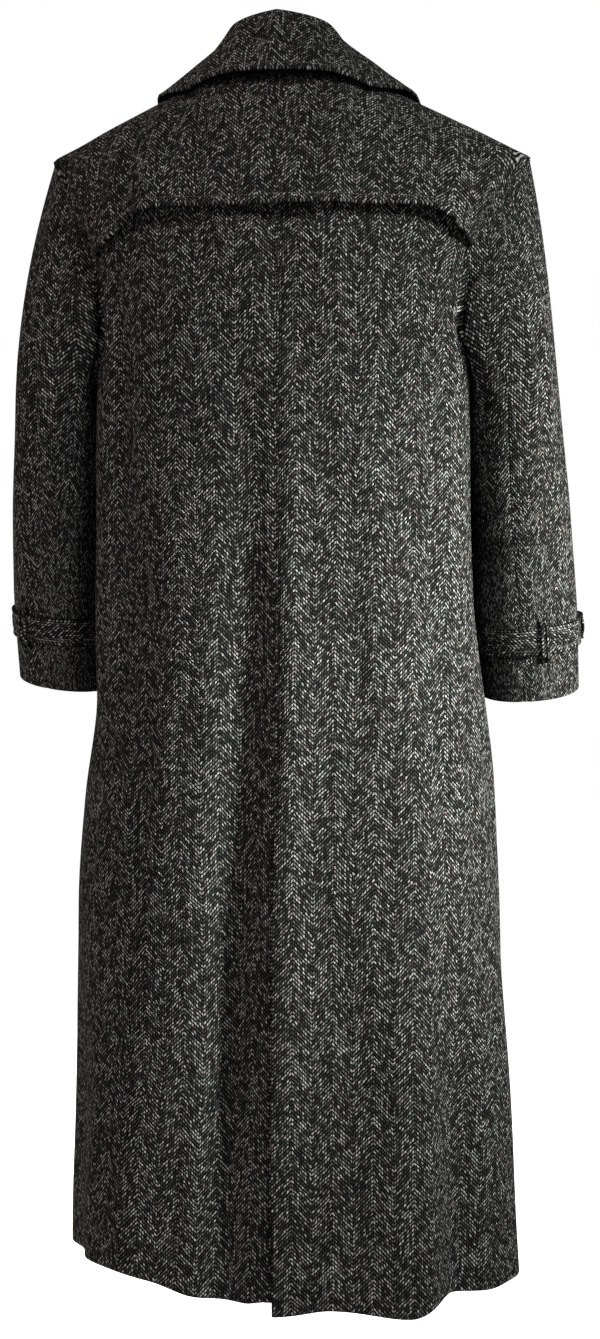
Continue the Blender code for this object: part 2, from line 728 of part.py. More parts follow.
def add_lapel(side, material):
    """A lapel: the front's own points, moved out from the roll line to the lapel's edge."""
    gorge = 1 + GORGE_CLIMB - GORGE_GAP
    roll_rises = spread(BREAK_RISE + (gorge - BREAK_RISE) * LAPEL_START[side], gorge, LAPEL_ROWS)
    starts = [front_point(side, front_edge_bearing(side, rise), rise) for rise in roll_rises]
    starts = [np.array([side * point[0], point[2]]) for point in starts]
    tip = np.array(LAPEL_TIP)
    notch = np.array(LAPEL_NOTCH)
    begin = starts[0] + np.array(LAPEL_BEGIN)
    outer = []
    inner = []
    for row, start in enumerate(starts):
        down = row / LAPEL_ROWS
        swell = np.array(LAPEL_SWELL) * math.sin(math.pi * down)
        end = begin + (tip - begin) * down + swell
        outer_row = []
        inner_row = []
        for column in range(LAPEL_COLUMNS + 1):
            part = column / LAPEL_COLUMNS
            place = start + (end - start) * part
            if part < LAPEL_NOTCH_PART:
                corner = starts[-1] + (notch - starts[-1]) * part / LAPEL_NOTCH_PART
            else:
                corner = notch + (tip - notch) * (part - LAPEL_NOTCH_PART) / (1 - LAPEL_NOTCH_PART)
            straight = starts[-1] + (tip - starts[-1]) * part
            place = place + (corner - straight) * down**LAPEL_NOTCH_POWER
            bearing, rise = front_place(place[0], place[1])
            rolled = math.sin(math.pi * min(part / LAPEL_ROLL_PART, 1.0)) * down
            lift = LAPEL_LIFT + LAPEL_ROLL_LIFT * rolled
            outer_row.append(front_point(side, side * bearing, rise, lift + LAPEL_CLOTH))
            inner_row.append(front_point(side, side * bearing, rise, lift))
        outer.append(outer_row)
        inner.append(inner_row)
    name = "lapel_right" if side > 0 else "lapel_left"
    return add_wall(name, np.array(outer), np.array(inner), material)


def armhole_place(side, turn):
    """The bearing and rise of the armhole's edge at a turn of the sleeve."""
    around = turn % 360.0
    face = -1 if around <= 180.0 else 1
    rise = 1 + (1 + math.cos(math.radians(around))) / 2
    return armhole_bearing(side, face, rise), min(rise, 2.0)


def armhole_point(side, turn):
    return body_point(*armhole_place(side, turn))


def armhole_out(side, turn):
    """The direction that carries on past the panel's edge at the armhole, in the panel's own face."""
    step = 2.0
    along = armhole_point(side, turn + step) - armhole_point(side, turn - step)
    return unit(np.cross(body_normal(*armhole_place(side, turn)), along)) * side


def tube_point(side, turn, fall):
    """A point of the sleeve below the underarm."""
    top = RINGS[side][-1].height
    cuff = RINGS[side][0].height
    height = top + (cuff - top) * (fall - 1)
    ring = {name: profile(height) for name, profile in RING[side].items()}
    angle = math.radians(turn)
    swell = 0.0
    for fold in SLEEVE_FOLDS[side]:
        middle = (fold.top + fold.cuff) / 2
        reach = ease(fold.top, middle, fall) * (1 - ease(middle, fold.cuff, fall))
        away = (turn - fold.turn + 180.0) % 360.0 - 180.0
        if abs(away) < 2 * fold.width:
            swell += fold.depth * reach * math.cos(math.radians(45.0 * away / fold.width)) ** 4
    out = (ring["half_width"] + swell) * power(math.cos(angle), SLEEVE_ROUNDNESS)
    back = (ring["half_depth"] + swell) * power(math.sin(angle), SLEEVE_ROUNDNESS)
    rise = -back * ring["tilt"] + out * ring["lean"]
    return np.array([side * (ring["across"] + out), ring["ahead"] - back, height + rise])


def sleeve_point(side, turn, fall):
    """A point of the sleeve's outer face: the cap swings from the armhole into the tube below."""
    if fall >= 1:
        return tube_point(side, turn, fall)
    start = armhole_point(side, turn) + armhole_out(side, turn) * SEAM_GAP
    end = tube_point(side, turn, 1.0)
    pull = np.linalg.norm(end - start)
    inward = (1 - math.cos(math.radians(turn))) / 2
    sleeve = SLEEVES[side]
    outward = sleeve.cap_spring + (sleeve.under_spring - sleeve.cap_spring) * math.sqrt(max(inward, 0.0))
    leave = np.array([side * outward, 0.0, -math.sqrt(1 - outward**2)])
    below = 0.05
    arrive = unit(tube_point(side, turn, 1 + below) - end)
    return hermite(start, leave * pull, end, arrive * pull, fall)


def sleeve_normal(side, turn, fall):
    """The direction straight out of the sleeve's outer face."""
    step = 1.5
    reach = 0.03
    around = sleeve_point(side, turn + step, fall) - sleeve_point(side, turn - step, fall)
    down = sleeve_point(side, turn, min(fall + reach, 2.0)) - sleeve_point(side, turn, max(fall - reach, 0.0))
    normal = unit(np.cross(around, down)) * side
    if fall > 0:
        return normal
    out = armhole_out(side, turn)
    return unit(normal - out * max(normal @ out, 0.0))


def sleeve_falls(side):
    """The falls of a sleeve's rows, with rows at its strap's two edges."""
    strap = strap_falls(side)
    return spread(0.0, 1.0, CAP_ROWS)[:-1] + [*ARM_FALLS, strap[0], strap[-1], *CUFF_FALLS]


def climb_turn(climb):
    """The turn on the sleeve's back half that leaves the armhole at this part of its height."""
    return math.degrees(math.acos(2 * climb - 1))


def turns_between(start, end):
    """The turns of a sleeve's columns, which meet the armhole at the body's own rows, with the two ends."""
    half = [climb_turn(climb) for climb in CLIMBS]
    around = [base + way * turn for base in (-360.0, 0.0, 360.0) for turn in half for way in (-1, 1)]
    margin = 4.0
    between = {round(turn, 4) for turn in around if start + margin < turn < end - margin}
    return [start] + sorted(between) + [end]


def top_turns(side):
    sleeve = SLEEVES[side]
    return turns_between(-climb_turn(sleeve.front_seam), climb_turn(sleeve.back_seam))


def under_turns(side):
    sleeve = SLEEVES[side]
    return turns_between(climb_turn(sleeve.back_seam), 360.0 - climb_turn(sleeve.front_seam))


def add_sleeve(name, side, turns, material):
    """A sleeve panel between its two seams."""
    falls = sleeve_falls(side)
    outer = grid(falls, turns, lambda fall, turn: sleeve_point(side, turn, fall))
    out = grid(falls, turns, lambda fall, turn: sleeve_normal(side, turn, fall))
    inner = outer - out * CLOTH
    return add_wall(name, trimmed_sides(outer), trimmed_sides(inner), material)


def trimmed_sides(points, amount=SEAM_GAP / 2):
    """The grid with its first and last columns drawn in at the seams."""
    result = points.copy()
    for edge, inwards in ((0, points[:, 1] - points[:, 0]), (-1, points[:, -2] - points[:, -1])):
        result[:, edge] += inwards / np.linalg.norm(inwards, axis=-1, keepdims=True) * amount
    return result


def strap_falls(side):
    """The falls of the strap's two edges and middle."""
    length = RINGS[side][-1].height - RINGS[side][0].height
    heights = (STRAP_CENTRE + STRAP_WIDTH / 2, STRAP_CENTRE, STRAP_CENTRE - STRAP_WIDTH / 2)
    return [2.0 - height / length for height in heights]


def strap_lift(side, turn):
    """How far the strap's inner face stands off the sleeve, rising where its end lies on its start."""
    sleeve = SLEEVES[side]
    over = STRAP_CLOTH + STRAP_CLEAR
    meeting = sleeve.strap_start + 360.0
    rise = over * ease(meeting - STRAP_CLIMB[0], meeting - STRAP_CLIMB[1], turn)
    tip = STRAP_TIP_PART * (sleeve.strap_end - meeting)
    flare = sleeve.tip_flare * ease(sleeve.strap_end - tip, sleeve.strap_end, turn)
    return STRAP_CLEAR + rise + flare


def strap_turns(side):
    sleeve = SLEEVES[side]
    return turns_between(sleeve.strap_start, sleeve.strap_end)


def add_strap(side, material):
    """A cuff strap, from the sleeve's points moved out, once round and a little over its own start."""
    falls = strap_falls(side)
    turns = strap_turns(side)

    def place(fall, turn, out):
        lift = strap_lift(side, turn) + out
        return sleeve_point(side, turn, fall) + sleeve_normal(side, turn, fall) * lift

    outer = grid(falls, turns, lambda fall, turn: place(fall, turn, STRAP_CLOTH))
    inner = grid(falls, turns, lambda fall, turn: place(fall, turn, 0.0))
    for points in (outer, inner):
        points[1, -1] += (points[1, -1] - points[1, -2]) * STRAP_POINT
    name = "cuff_strap_right" if side > 0 else "cuff_strap_left"
    return add_wall(name, outer, inner, material)


def add_loop(side, material):
    """The narrow loop over a strap, bowed out over it and close to the sleeve above and below."""
    length = RINGS[side][-1].height - RINGS[side][0].height
    centre = SLEEVES[side].loop_turn
    radius = RINGS[side][0].half_depth
    half_turn = math.degrees(LOOP_WIDTH / 2 / radius)
    turns = [centre - half_turn, centre, centre + half_turn]
    steps = spread(-1.0, 1.0, LOOP_STEPS)

    def place(step, turn, out):
        fall = 2.0 - (STRAP_CENTRE - step * LOOP_LENGTH / 2) / length
        bow = 1 - ease(*LOOP_BOW, abs(step))
        lift = SEAM_GAP * 2 + (STRAP_CLOTH + LOOP_CLEAR) * bow + out
        return sleeve_point(side, turn, fall) + sleeve_normal(side, turn, fall) * lift

    outer = grid(steps, turns, lambda step, turn: place(step, turn, LOOP_CLOTH))
    inner = grid(steps, turns, lambda step, turn: place(step, turn, 0.0))
    name = "strap_loop_right" if side > 0 else "strap_loop_left"
    return add_wall(name, outer, inner, material)


def add_button(name, centre, out, radius, depth, material):
    """A turned button: a dished face, a rounded rim and a short shank towards the cloth."""
    out = unit(np.array(out))
    first = unit(np.cross(out, np.array([0.0, 0.0, 1.0])))
    second = np.cross(out, first)
    shape = bmesh.new()
    rings = []
    for turning in BUTTON_PROFILE:
        middle = centre + out * turning.depth_part * depth
        if turning.radius_part == 0.0:
            rings.append([shape.verts.new(middle)])
            continue
        ring = []
        for step in range(BUTTON_SIDES):
            angle = 2 * math.pi * step / BUTTON_SIDES
            spoke = first * math.cos(angle) + second * math.sin(angle)
            ring.append(shape.verts.new(middle + spoke * turning.radius_part * radius))
        rings.append(ring)
    for upper, lower in zip(rings[:-1], rings[1:]):
        for step in range(BUTTON_SIDES):
            after = (step + 1) % BUTTON_SIDES
            if len(upper) == 1:
                shape.faces.new([upper[0], lower[step], lower[after]])
            elif len(lower) == 1:
                shape.faces.new([upper[step], lower[0], upper[after]])
            else:
                shape.faces.new([upper[step], lower[step], lower[after], upper[after]])
    bmesh.ops.recalc_face_normals(shape, faces=shape.faces)
    mesh = bpy.data.meshes.new(name)
    shape.to_mesh(mesh)
    shape.free()
    mesh.shade_smooth()
    mesh.set_sharp_from_angle(angle=SHARP_ANGLE)
    return add_object(name, mesh, material)


def add_front_buttons(material):
    """The front's buttons, on the right front over the centre line."""
    for count, rise in enumerate(FRONT_BUTTON_RISES, start=1):
        bearing = 180.0
        out = body_normal(bearing, rise)
        centre = front_point(1, bearing, rise, SEAM_GAP)
        add_button(f"front_button_{count}", centre, out, FRONT_BUTTON_RADIUS, FRONT_BUTTON_DEPTH, material)


def add_strap_button(side, material):
    """The button that holds a cuff strap's end, on the strap's column nearest to its place."""
    wanted = SLEEVES[side].strap_end - STRAP_BUTTON_INSET
    turn = min(strap_turns(side), key=lambda column: abs(column - wanted))
    fall = strap_falls(side)[1]
    out = sleeve_normal(side, turn, fall)
    centre = sleeve_point(side, turn, fall) + out * (strap_lift(side, turn) + STRAP_CLOTH + SEAM_GAP)
    name = "strap_button_right" if side > 0 else "strap_button_left"
    add_button(name, centre, out, STRAP_BUTTON_RADIUS, STRAP_BUTTON_DEPTH, material)


def main():
    for old in list(bpy.data.objects):
        bpy.data.objects.remove(old, do_unlink=True)
    tweed = add_material("herringbone_tweed", CLOTH_COLOUR, CLOTH_ROUGHNESS)
    horn = add_material("dark_horn", BUTTON_COLOUR, BUTTON_ROUGHNESS)
    add_yoke(tweed)
    add_collar(tweed)
    add_front_buttons(horn)
    for side, word in ((-1, "left"), (1, "right")):
        add_back(side, tweed)
        add_front(side, tweed)
        add_lapel(side, tweed)
        add_sleeve(f"top_sleeve_{word}", side, top_turns(side), tweed)
        add_sleeve(f"under_sleeve_{word}", side, under_turns(side), tweed)
        add_strap(side, tweed)
        add_loop(side, tweed)
        add_strap_button(side, horn)


main()
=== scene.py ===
"""The looks of a long herringbone overcoat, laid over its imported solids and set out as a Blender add-on.

Metres. +X is the wearer's right, +Y the wearer's front and +Z up. The origin is the middle of the neck
opening, level with the inner ends of the shoulder seams. A place on the body is a bearing and a rise: the
bearing is in degrees, 0 at the centre back, 90 at the wearer's right side and 180 at the centre front, and
the rise is 0 at the hem, 1 at the underarm and 2 at the top. A place on a sleeve is a turn and a fall: the
turn is in degrees, 0 on the outer side, 90 at the back and 180 on the side that faces the body, and the fall
is 0 at the armhole, 1 just below the underarm and 2 at the cuff's edge.
"""

import json
import math
from collections import namedtuple

import bpy
import numpy as np
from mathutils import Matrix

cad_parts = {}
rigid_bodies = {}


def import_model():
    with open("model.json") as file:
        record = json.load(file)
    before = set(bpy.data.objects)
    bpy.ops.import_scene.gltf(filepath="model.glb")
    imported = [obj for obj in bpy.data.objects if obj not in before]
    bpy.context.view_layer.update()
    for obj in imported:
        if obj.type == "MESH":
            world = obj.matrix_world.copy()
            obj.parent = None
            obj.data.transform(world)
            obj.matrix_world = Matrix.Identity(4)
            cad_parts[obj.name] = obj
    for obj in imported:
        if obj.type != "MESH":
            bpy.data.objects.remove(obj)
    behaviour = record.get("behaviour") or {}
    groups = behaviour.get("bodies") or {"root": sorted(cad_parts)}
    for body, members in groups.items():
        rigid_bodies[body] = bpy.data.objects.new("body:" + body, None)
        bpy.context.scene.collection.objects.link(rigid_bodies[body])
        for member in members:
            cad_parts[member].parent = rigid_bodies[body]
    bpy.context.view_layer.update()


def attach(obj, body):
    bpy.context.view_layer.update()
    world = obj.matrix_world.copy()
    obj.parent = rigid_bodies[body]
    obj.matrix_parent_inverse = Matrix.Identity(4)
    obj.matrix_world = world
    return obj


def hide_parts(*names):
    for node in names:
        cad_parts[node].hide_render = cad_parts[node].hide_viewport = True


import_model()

bl_info = {
    "name": "Herringbone overcoat",
    "version": (1, 0, 0),
    "blender": (4, 5, 0),
    "location": "View3D > Sidebar > Overcoat",
    "description": "Makes the cloth, buttons and sewing of a long herringbone overcoat",
    "category": "Object",
}

BODY = "root"
TWEED_SLOT = "herringbone_tweed"
HORN_SLOT = "dark_horn"
WORDS = {1: "right", -1: "left"}
SIDES = (-1, 1)


def table(kind, *rows):
    """A list of named rows of one kind."""
    return [kind(*row) for row in rows]


# Cloth and seams
CLOTH = 0.0022
YOKE_CLOTH = 0.0022
COLLAR_CLOTH = 0.0032
LAPEL_CLOTH = 0.0028
STRAP_CLOTH = 0.0026
LOOP_CLOTH = 0.0018
SEAM_GAP = 0.0003

# Body
UNDERARM = -0.300
SKIRT_LENGTH = 0.92
SHOULDER_HALF = 0.2592
SHOULDER_DROP = 0.0860
NECK_CENTRE = -0.006
NECK_HALF = 0.083
NECK_BACK = 0.078
NECK_TOP = 0.001
NECK_DIP = 0.006
SQUARENESS = 2.5
SHOULDER_ROLL = (3.0, 2.0)
NAPE_ROLL = (2.4, 1.35)

# Centre back vent
VENT_RISE = 0.47
VENT_UNDERLAP = 0.045
VENT_DEPTH = 0.0042
VENT_FLARE = 0.004
VENT_STAND_OFF = 0.0016
VENT_EASE = 0.075
VENT_TURN = 0.050
VENT_TURN_END = 0.006
VENT_HEM_STEP = 1.0

# Front closing
LAP = 0.032
LAP_LIFT = 0.0036
LAP_EASE = 0.045
BREAK_RISE = 0.965
PRESS_FADE = 0.05

# Yoke: its free edge, how it swings out towards that edge between its sewn ends, and the hollow below it
YOKE_CENTRE_DROP = -0.150
YOKE_END_DROP = -0.186
YOKE_BENDS = {1: (0.142, 0.201), -1: (0.122, 0.194)}
YOKE_BEND_POWER = 1.2
YOKE_STAND_OFF = 0.0110
YOKE_SWING_POWER = 1.5
YOKE_SEWN_PART = 0.35
YOKE_CLEAR = 0.0006
YOKE_CLEAR_PART = 0.1
YOKE_HEM_ROLL = 0.0016
YOKE_ROLL_ENDS = (0.0030, 0.0120)
YOKE_STITCH_IN = 0.0075
YOKE_STITCH_LIFT = 0.0012
YOKE_HEIGHT = 0.205
YOKE_ROW_POWER = 1.6
YOKE_WAVES = ((0.22, 11.0, 0.6), (0.12, 23.0, 1.9))
YOKE_FOLD_PART = 0.4
YOKE_FOLD_FADE = 0.25
YOKE_HOLLOW = 0.0045
YOKE_HOLLOW_BELOW = 0.003
YOKE_HOLLOW_REACH = 0.013
YOKE_HOLLOW_ENDS = (0.140, 0.172)

# Sleeves, straps and loops
SLEEVE_ROUNDNESS = 0.92
STRAP_CENTRE = 0.060
STRAP_WIDTH = 0.028
STRAP_LENGTH = 0.40
STRAP_CELLS = (0.0030, 0.0036)
STRAP_CLEAR = 0.0008
STRAP_CLIMB = (60.0, 8.0)
STRAP_TIP_PART = 0.6
STRAP_POINT_TURN = 6.0
LOOP_WIDTH = 0.011
LOOP_LENGTH = 0.044
LOOP_CELLS = (0.0020, 0.0022)
LOOP_CLEAR = 0.0022
LOOP_BOW = (0.66, 0.95)

# Buttons
FRONT_BUTTON_RADIUS = 0.0145
FRONT_BUTTON_DEPTH = 0.0048
FRONT_BUTTON_RISES = (0.945, 0.800, 0.655, 0.510)
STRAP_BUTTON_RADIUS = 0.0095
STRAP_BUTTON_DEPTH = 0.0036
STRAP_BUTTON_CLIMBS = {1: 0.92, -1: 0.73}

# Buttonholes: how far they reach inside and past a button, and their stitches' spacing, length and radius
BUTTONHOLE_ENDS = (0.004, -0.021)
BUTTONHOLE_HALF_GAP = 0.0011
BUTTONHOLE_POINTS = 14
BUTTONHOLE_LIFT = 0.0003
BUTTONHOLE_STITCH = (0.0009, 0.0026, 0.00042)

# Collar and lapels
COLLAR_ROLL = 0.018
COLLAR_SHIFT = -1.0
COLLAR_CLEAR = 0.002
COLLAR_TUCK = (0.0042, 0.0095)
COLLAR_TUCK_ENDS = (1.0, 1.3)
COLLAR_HALF_LENGTH = 0.29
COLLAR_SECTION = 0.13
COLLAR_CELL = 0.0034
COLLAR_FALL_START = 0.06
COLLAR_FALL_EASE = 0.02
COLLAR_RIPPLE_SCALES = (0.6, 2.0)
COLLAR_RIPPLE_PART = 0.8
STAND_PULL = 1.1
GORGE_CLIMB = 0.70
GORGE_GAP = 0.012
LAPEL_LENGTH = 0.22
LAPEL_WIDTH = 0.095
LAPEL_CELL = 0.004
LAPEL_TIP = (0.152, -0.128)
LAPEL_NOTCH = (0.110, -0.1015)
LAPEL_NOTCH_PART = 0.58
LAPEL_NOTCH_POWER = 4
LAPEL_BEGIN = (0.006, -0.002)
LAPEL_SWELL = (0.0108, -0.0048)
LAPEL_LIFT = 0.0035
LAPEL_ROLL_LIFT = 0.006
LAPEL_ROLL_PART = 0.625
LAPEL_START = {1: 0.05, -1: 0.40}
TRIES = 24

# Fine grids of the cloth: their spacing, the rows close to a border, and how a seam draws the cloth in
CELL = 0.0046
BORDER_ROWS = (0.0, 0.0011, 0.0026, 0.0050)
RIM_ANGLES = np.radians([45.0, 90.0, 135.0])
CELL_CORNERS = ((0, 0), (0, 1), (1, 1), (1, 0))
SEAM_DIP = 0.0008
SEAM_REACH = 0.0032
ROUND_STEPS = 720
QUARTER_LENGTH = 0.280
WIDEST_QUARTER = 0.350
FRONT_WIDER = 1.1
BACK_MIDDLE = 35.0
FRONT_MIDDLE = 140.0

# Grids of the sleeves, and how their heads lap the armhole's edge and tuck in at the underarm
SLEEVE_LENGTH = 0.56
SLEEVE_CELL = 0.0030
SLEEVE_INSET = 0.0005
SLEEVE_START = -0.002
SLEEVE_LAP = 0.0012
SLEEVE_TUCK = 0.012
SLEEVE_TUCK_REACH = 0.06
SLEEVE_RADIUS = 0.057
SLEEVE_RUN = 0.27

# Unevenness of the hung cloth: its depth, and the shortest and longest waves across and along
RIPPLE = 0.0022
RIPPLE_WAVES = 9
RIPPLE_ACROSS = (0.045, 0.15)
RIPPLE_ALONG = (0.16, 0.55)
RIPPLE_END = (1.70, 1.86)
RIPPLE_SEED = 7

# Step of the weave's map from piece to piece, and lines of stitches
MAP_SHIFT = 0.8
STITCH_GROOVE = 0.0007
STITCH_GROOVE_REACH = 0.0022
EDGE_STITCH_IN = 0.0065
STRAP_STITCH_IN = 0.0040

# Picture: 600 by 1339 pixels, 1.04 mm to a pixel at the origin, which lies at this pixel
IMAGE_SIZE = (600, 1339)
PIXEL = 0.00104
ORIGIN_PIXEL = (290.5, 85.0)
CAMERA_TURN = math.radians(6.0)
CAMERA_DISTANCE = 2.6
SENSOR = 36.0

Level = namedtuple("Level", "height left right back front")
LEVELS = table(
    Level,
    (-1.250, 0.2270, 0.2312, 0.168, 0.166),
    (-1.160, 0.2262, 0.2268, 0.165, 0.163),
    (-1.000, 0.2212, 0.2222, 0.159, 0.156),
    (-0.850, 0.2176, 0.2145, 0.152, 0.149),
    (-0.740, 0.2095, 0.2084, 0.146, 0.144),
    (-0.640, 0.1990, 0.2030, 0.140, 0.139),
    (-0.535, 0.1985, 0.1930, 0.136, 0.136),
    (-0.430, 0.1980, 0.1895, 0.134, 0.136),
    (-0.300, 0.1980, 0.1900, 0.137, 0.142),
)

Hem = namedtuple("Hem", "bearing height")
HEMS = table(
    Hem,
    (-200.0, -1.224),
    (-150.0, -1.212),
    (-90.0, -1.199),
    (-45.0, -1.2015),
    (-28.0, -1.2095),
    (-14.0, -1.225),
    (-5.0, -1.229),
    (-VENT_HEM_STEP, -1.226),
    (0.0, -1.238),
    (10.0, -1.232),
    (30.0, -1.240),
    (44.0, -1.226),
    (65.0, -1.228),
    (90.0, -1.223),
    (150.0, -1.226),
    (200.0, -1.224),
)

Armhole = namedtuple("Armhole", "climb half back_cut front_cut")
ARMHOLES = table(
    Armhole,
    (0.00, 0.1980, 0.0, 0.0),
    (0.03, 0.1978, 8.0, 8.5),
    (0.08, 0.1980, 13.5, 14.5),
    (0.18, 0.1990, 19.0, 21.0),
    (0.35, 0.2030, 23.0, 26.0),
    (0.50, 0.2110, 24.0, 27.0),
    (0.65, 0.2270, 23.5, 26.0),
    (0.80, 0.2420, 22.5, 24.0),
    (0.92, 0.2520, 20.5, 21.0),
    (1.00, 0.2592, 19.0, 19.0),
)

# The solids' own folds. A fold's place is in quarters: 0 at the centre back, 1 at the right side, 2 in front.
# It grows from its top to its full depth, and dies away from its low height to its end, often past the hem.
PAST_HEM = (-1.40, -1.50)
Fold = namedtuple("Fold", "top_place end_place top full depth width low end", defaults=PAST_HEM)
FOLDS = table(
    Fold,
    (-0.12, -0.16, -0.46, -1.10, -0.020, 0.085),
    (0.38, 0.44, -0.22, -1.05, 0.011, 0.150),
    (0.58, 0.63, -0.80, -1.22, -0.024, 0.110),
    (-0.63, -0.60, -0.13, -0.30, -0.006, 0.090, -0.50, -0.75),
    (-0.42, -0.50, -0.70, -1.20, 0.009, 0.140),
    (-0.76, -0.78, -0.70, -1.20, -0.010, 0.110),
    (0.86, 0.92, -0.72, -1.20, 0.008, 0.100),
    (1.20, 1.27, -0.66, -1.15, -0.013, 0.120),
    (1.50, 1.58, -0.48, -1.15, 0.011, 0.150),
    (-1.18, -1.24, -0.68, -1.20, -0.012, 0.120),
    (-1.46, -1.54, -0.55, -1.10, 0.010, 0.150),
    (1.10, 1.12, -0.27, -0.38, -0.017, 0.190, -0.58, -0.72),
    (-1.10, -1.12, -0.27, -0.38, -0.014, 0.190, -0.58, -0.72),
    (0.80, 0.78, -0.24, -0.40, 0.004, 0.120, -0.58, -0.72),
    (-0.82, -0.80, -0.24, -0.40, 0.004, 0.120, -0.58, -0.72),
)

# Creases of the hung cloth, in metres: across is measured round from the centre back, and along is the
# height. A positive depth is a ridge and a negative one a trough, which dies away towards both its ends.
CREASE_FADE = 0.8
CREASE_LIP = 0.4
Crease = namedtuple("Crease", "across along end_across end_along depth width bow")
BODY_CREASES = table(
    Crease,
    (0.020, -0.300, 0.012, -1.180, 0.0080, 0.026, 0.003),
    (-0.032, -0.290, -0.042, -1.060, -0.0095, 0.026, -0.004),
    (-0.036, -0.800, -0.044, -1.230, -0.0040, 0.008, 0.003),
    (0.082, -0.420, 0.086, -0.700, -0.0022, 0.010, 0.002),
    (0.168, -0.360, 0.160, -0.820, -0.0030, 0.011, -0.003),
    (0.132, -0.560, 0.140, -1.060, 0.0024, 0.016, 0.004),
    (-0.100, -0.360, -0.106, -0.900, 0.0026, 0.018, 0.004),
    (-0.140, -0.450, -0.134, -1.000, -0.0024, 0.013, -0.003),
    (-0.178, -0.150, -0.170, -0.420, -0.0045, 0.010, 0.006),
    (-0.198, -0.150, -0.194, -0.360, 0.0030, 0.008, 0.002),
    (0.188, -0.160, 0.180, -0.380, -0.0030, 0.011, -0.005),
    (0.024, -0.940, 0.072, -1.070, -0.0018, 0.007, 0.003),
    (0.050, -0.930, 0.082, -1.010, -0.0014, 0.006, -0.002),
    (0.040, -1.040, 0.070, -1.190, 0.0020, 0.010, 0.002),
    (-0.070, -0.900, -0.086, -1.210, -0.0026, 0.011, 0.004),
    (-0.170, -0.960, -0.190, -1.220, 0.0030, 0.014, -0.004),
    (0.205, -0.660, 0.222, -1.000, -0.0034, 0.014, 0.003),
    (0.200, -0.120, 0.226, -0.320, -0.0115, 0.0125, 0.000),
    (-0.200, -0.120, -0.226, -0.320, -0.0105, 0.0120, 0.000),
    (0.283, -0.275, 0.283, -0.395, 0.0058, 0.018, 0.000),
    (0.262, -0.560, 0.290, -0.900, 0.0030, 0.016, 0.004),
    (-0.252, -0.600, -0.272, -1.020, 0.0028, 0.015, -0.004),
    (0.330, -0.700, 0.352, -1.200, -0.0040, 0.017, 0.005),
    (0.398, -0.330, 0.430, -0.760, -0.0026, 0.014, 0.006),
    (0.452, -0.560, 0.470, -1.150, 0.0030, 0.019, 0.004),
    (0.392, -0.230, 0.470, -0.345, -0.0022, 0.010, 0.004),
    (0.372, -0.270, 0.452, -0.400, 0.0018, 0.011, 0.003),
    (-0.318, -0.680, -0.346, -1.190, -0.0040, 0.016, 0.004),
    (-0.394, -0.320, -0.424, -0.720, -0.0028, 0.014, -0.005),
    (-0.446, -0.600, -0.462, -1.130, 0.0030, 0.018, -0.004),
    (-0.386, -0.220, -0.462, -0.338, -0.0022, 0.010, -0.004),
    (-0.368, -0.265, -0.446, -0.390, 0.0018, 0.011, -0.003),
)

# Creases of the yoke: across is the distance from the middle and along the height
YOKE_CREASES = table(
    Crease,
    (0.152, -0.052, 0.190, -0.150, 0.0036, 0.009, 0.002),
    (0.132, -0.060, 0.168, -0.150, -0.0016, 0.010, 0.001),
    (-0.150, -0.070, -0.176, -0.165, 0.0022, 0.010, -0.002),
    (-0.060, -0.030, -0.074, -0.160, -0.0014, 0.018, 0.003),
    (0.040, -0.030, 0.052, -0.160, 0.0016, 0.020, -0.003),
    (-0.110, -0.050, -0.118, -0.155, 0.0014, 0.014, 0.002),
)

Ring = namedtuple("Ring", "height across ahead half_width half_depth tilt lean")
RINGS = {
    1: table(
        Ring,
        (-0.628, 0.2470, 0.064, 0.0515, 0.0585, 0.22, 0.06),
        (-0.536, 0.2405, 0.046, 0.0555, 0.0620, 0.17, 0.05),
        (-0.452, 0.2355, 0.028, 0.0545, 0.0660, 0.08, 0.03),
        (-0.360, 0.2320, 0.010, 0.0495, 0.0690, 0.00, 0.00),
    ),
    -1: table(
        Ring,
        (-0.6165, 0.2485, 0.070, 0.0510, 0.0585, 0.22, 0.13),
        (-0.536, 0.2505, 0.050, 0.0505, 0.0620, 0.17, 0.09),
        (-0.452, 0.2500, 0.028, 0.0480, 0.0660, 0.08, 0.04),
        (-0.360, 0.2470, 0.010, 0.0450, 0.0690, 0.00, 0.00),
    ),
}

# Each sleeve's seams leave the armhole at these parts of its height
Sleeve = namedtuple(
    "Sleeve", "back_seam front_seam cap_spring under_spring loop_turn strap_start strap_end tip_flare"
)
SLEEVES = {
    1: Sleeve(0.46, 0.32, 0.20, 0.42, 70.0, -62.0, 346.0, 0.001),
    -1: Sleeve(0.60, 0.32, 0.25, 0.74, 56.0, -75.0, 328.0, 0.0),
}

SleeveFold = namedtuple("SleeveFold", "turn top cuff depth width")
SLEEVE_FOLDS = {
    1: table(
        SleeveFold,
        (66.0, 0.35, 1.40, 0.0035, 20.0),
        (150.0, 1.10, 1.75, -0.0060, 34.0),
        (300.0, 0.90, 1.60, -0.0040, 26.0),
    ),
    -1: table(
        SleeveFold,
        (60.0, 0.40, 1.50, -0.0030, 20.0),
        (140.0, 1.10, 1.70, -0.0040, 30.0),
        (300.0, 0.90, 1.60, -0.0040, 26.0),
    ),
}

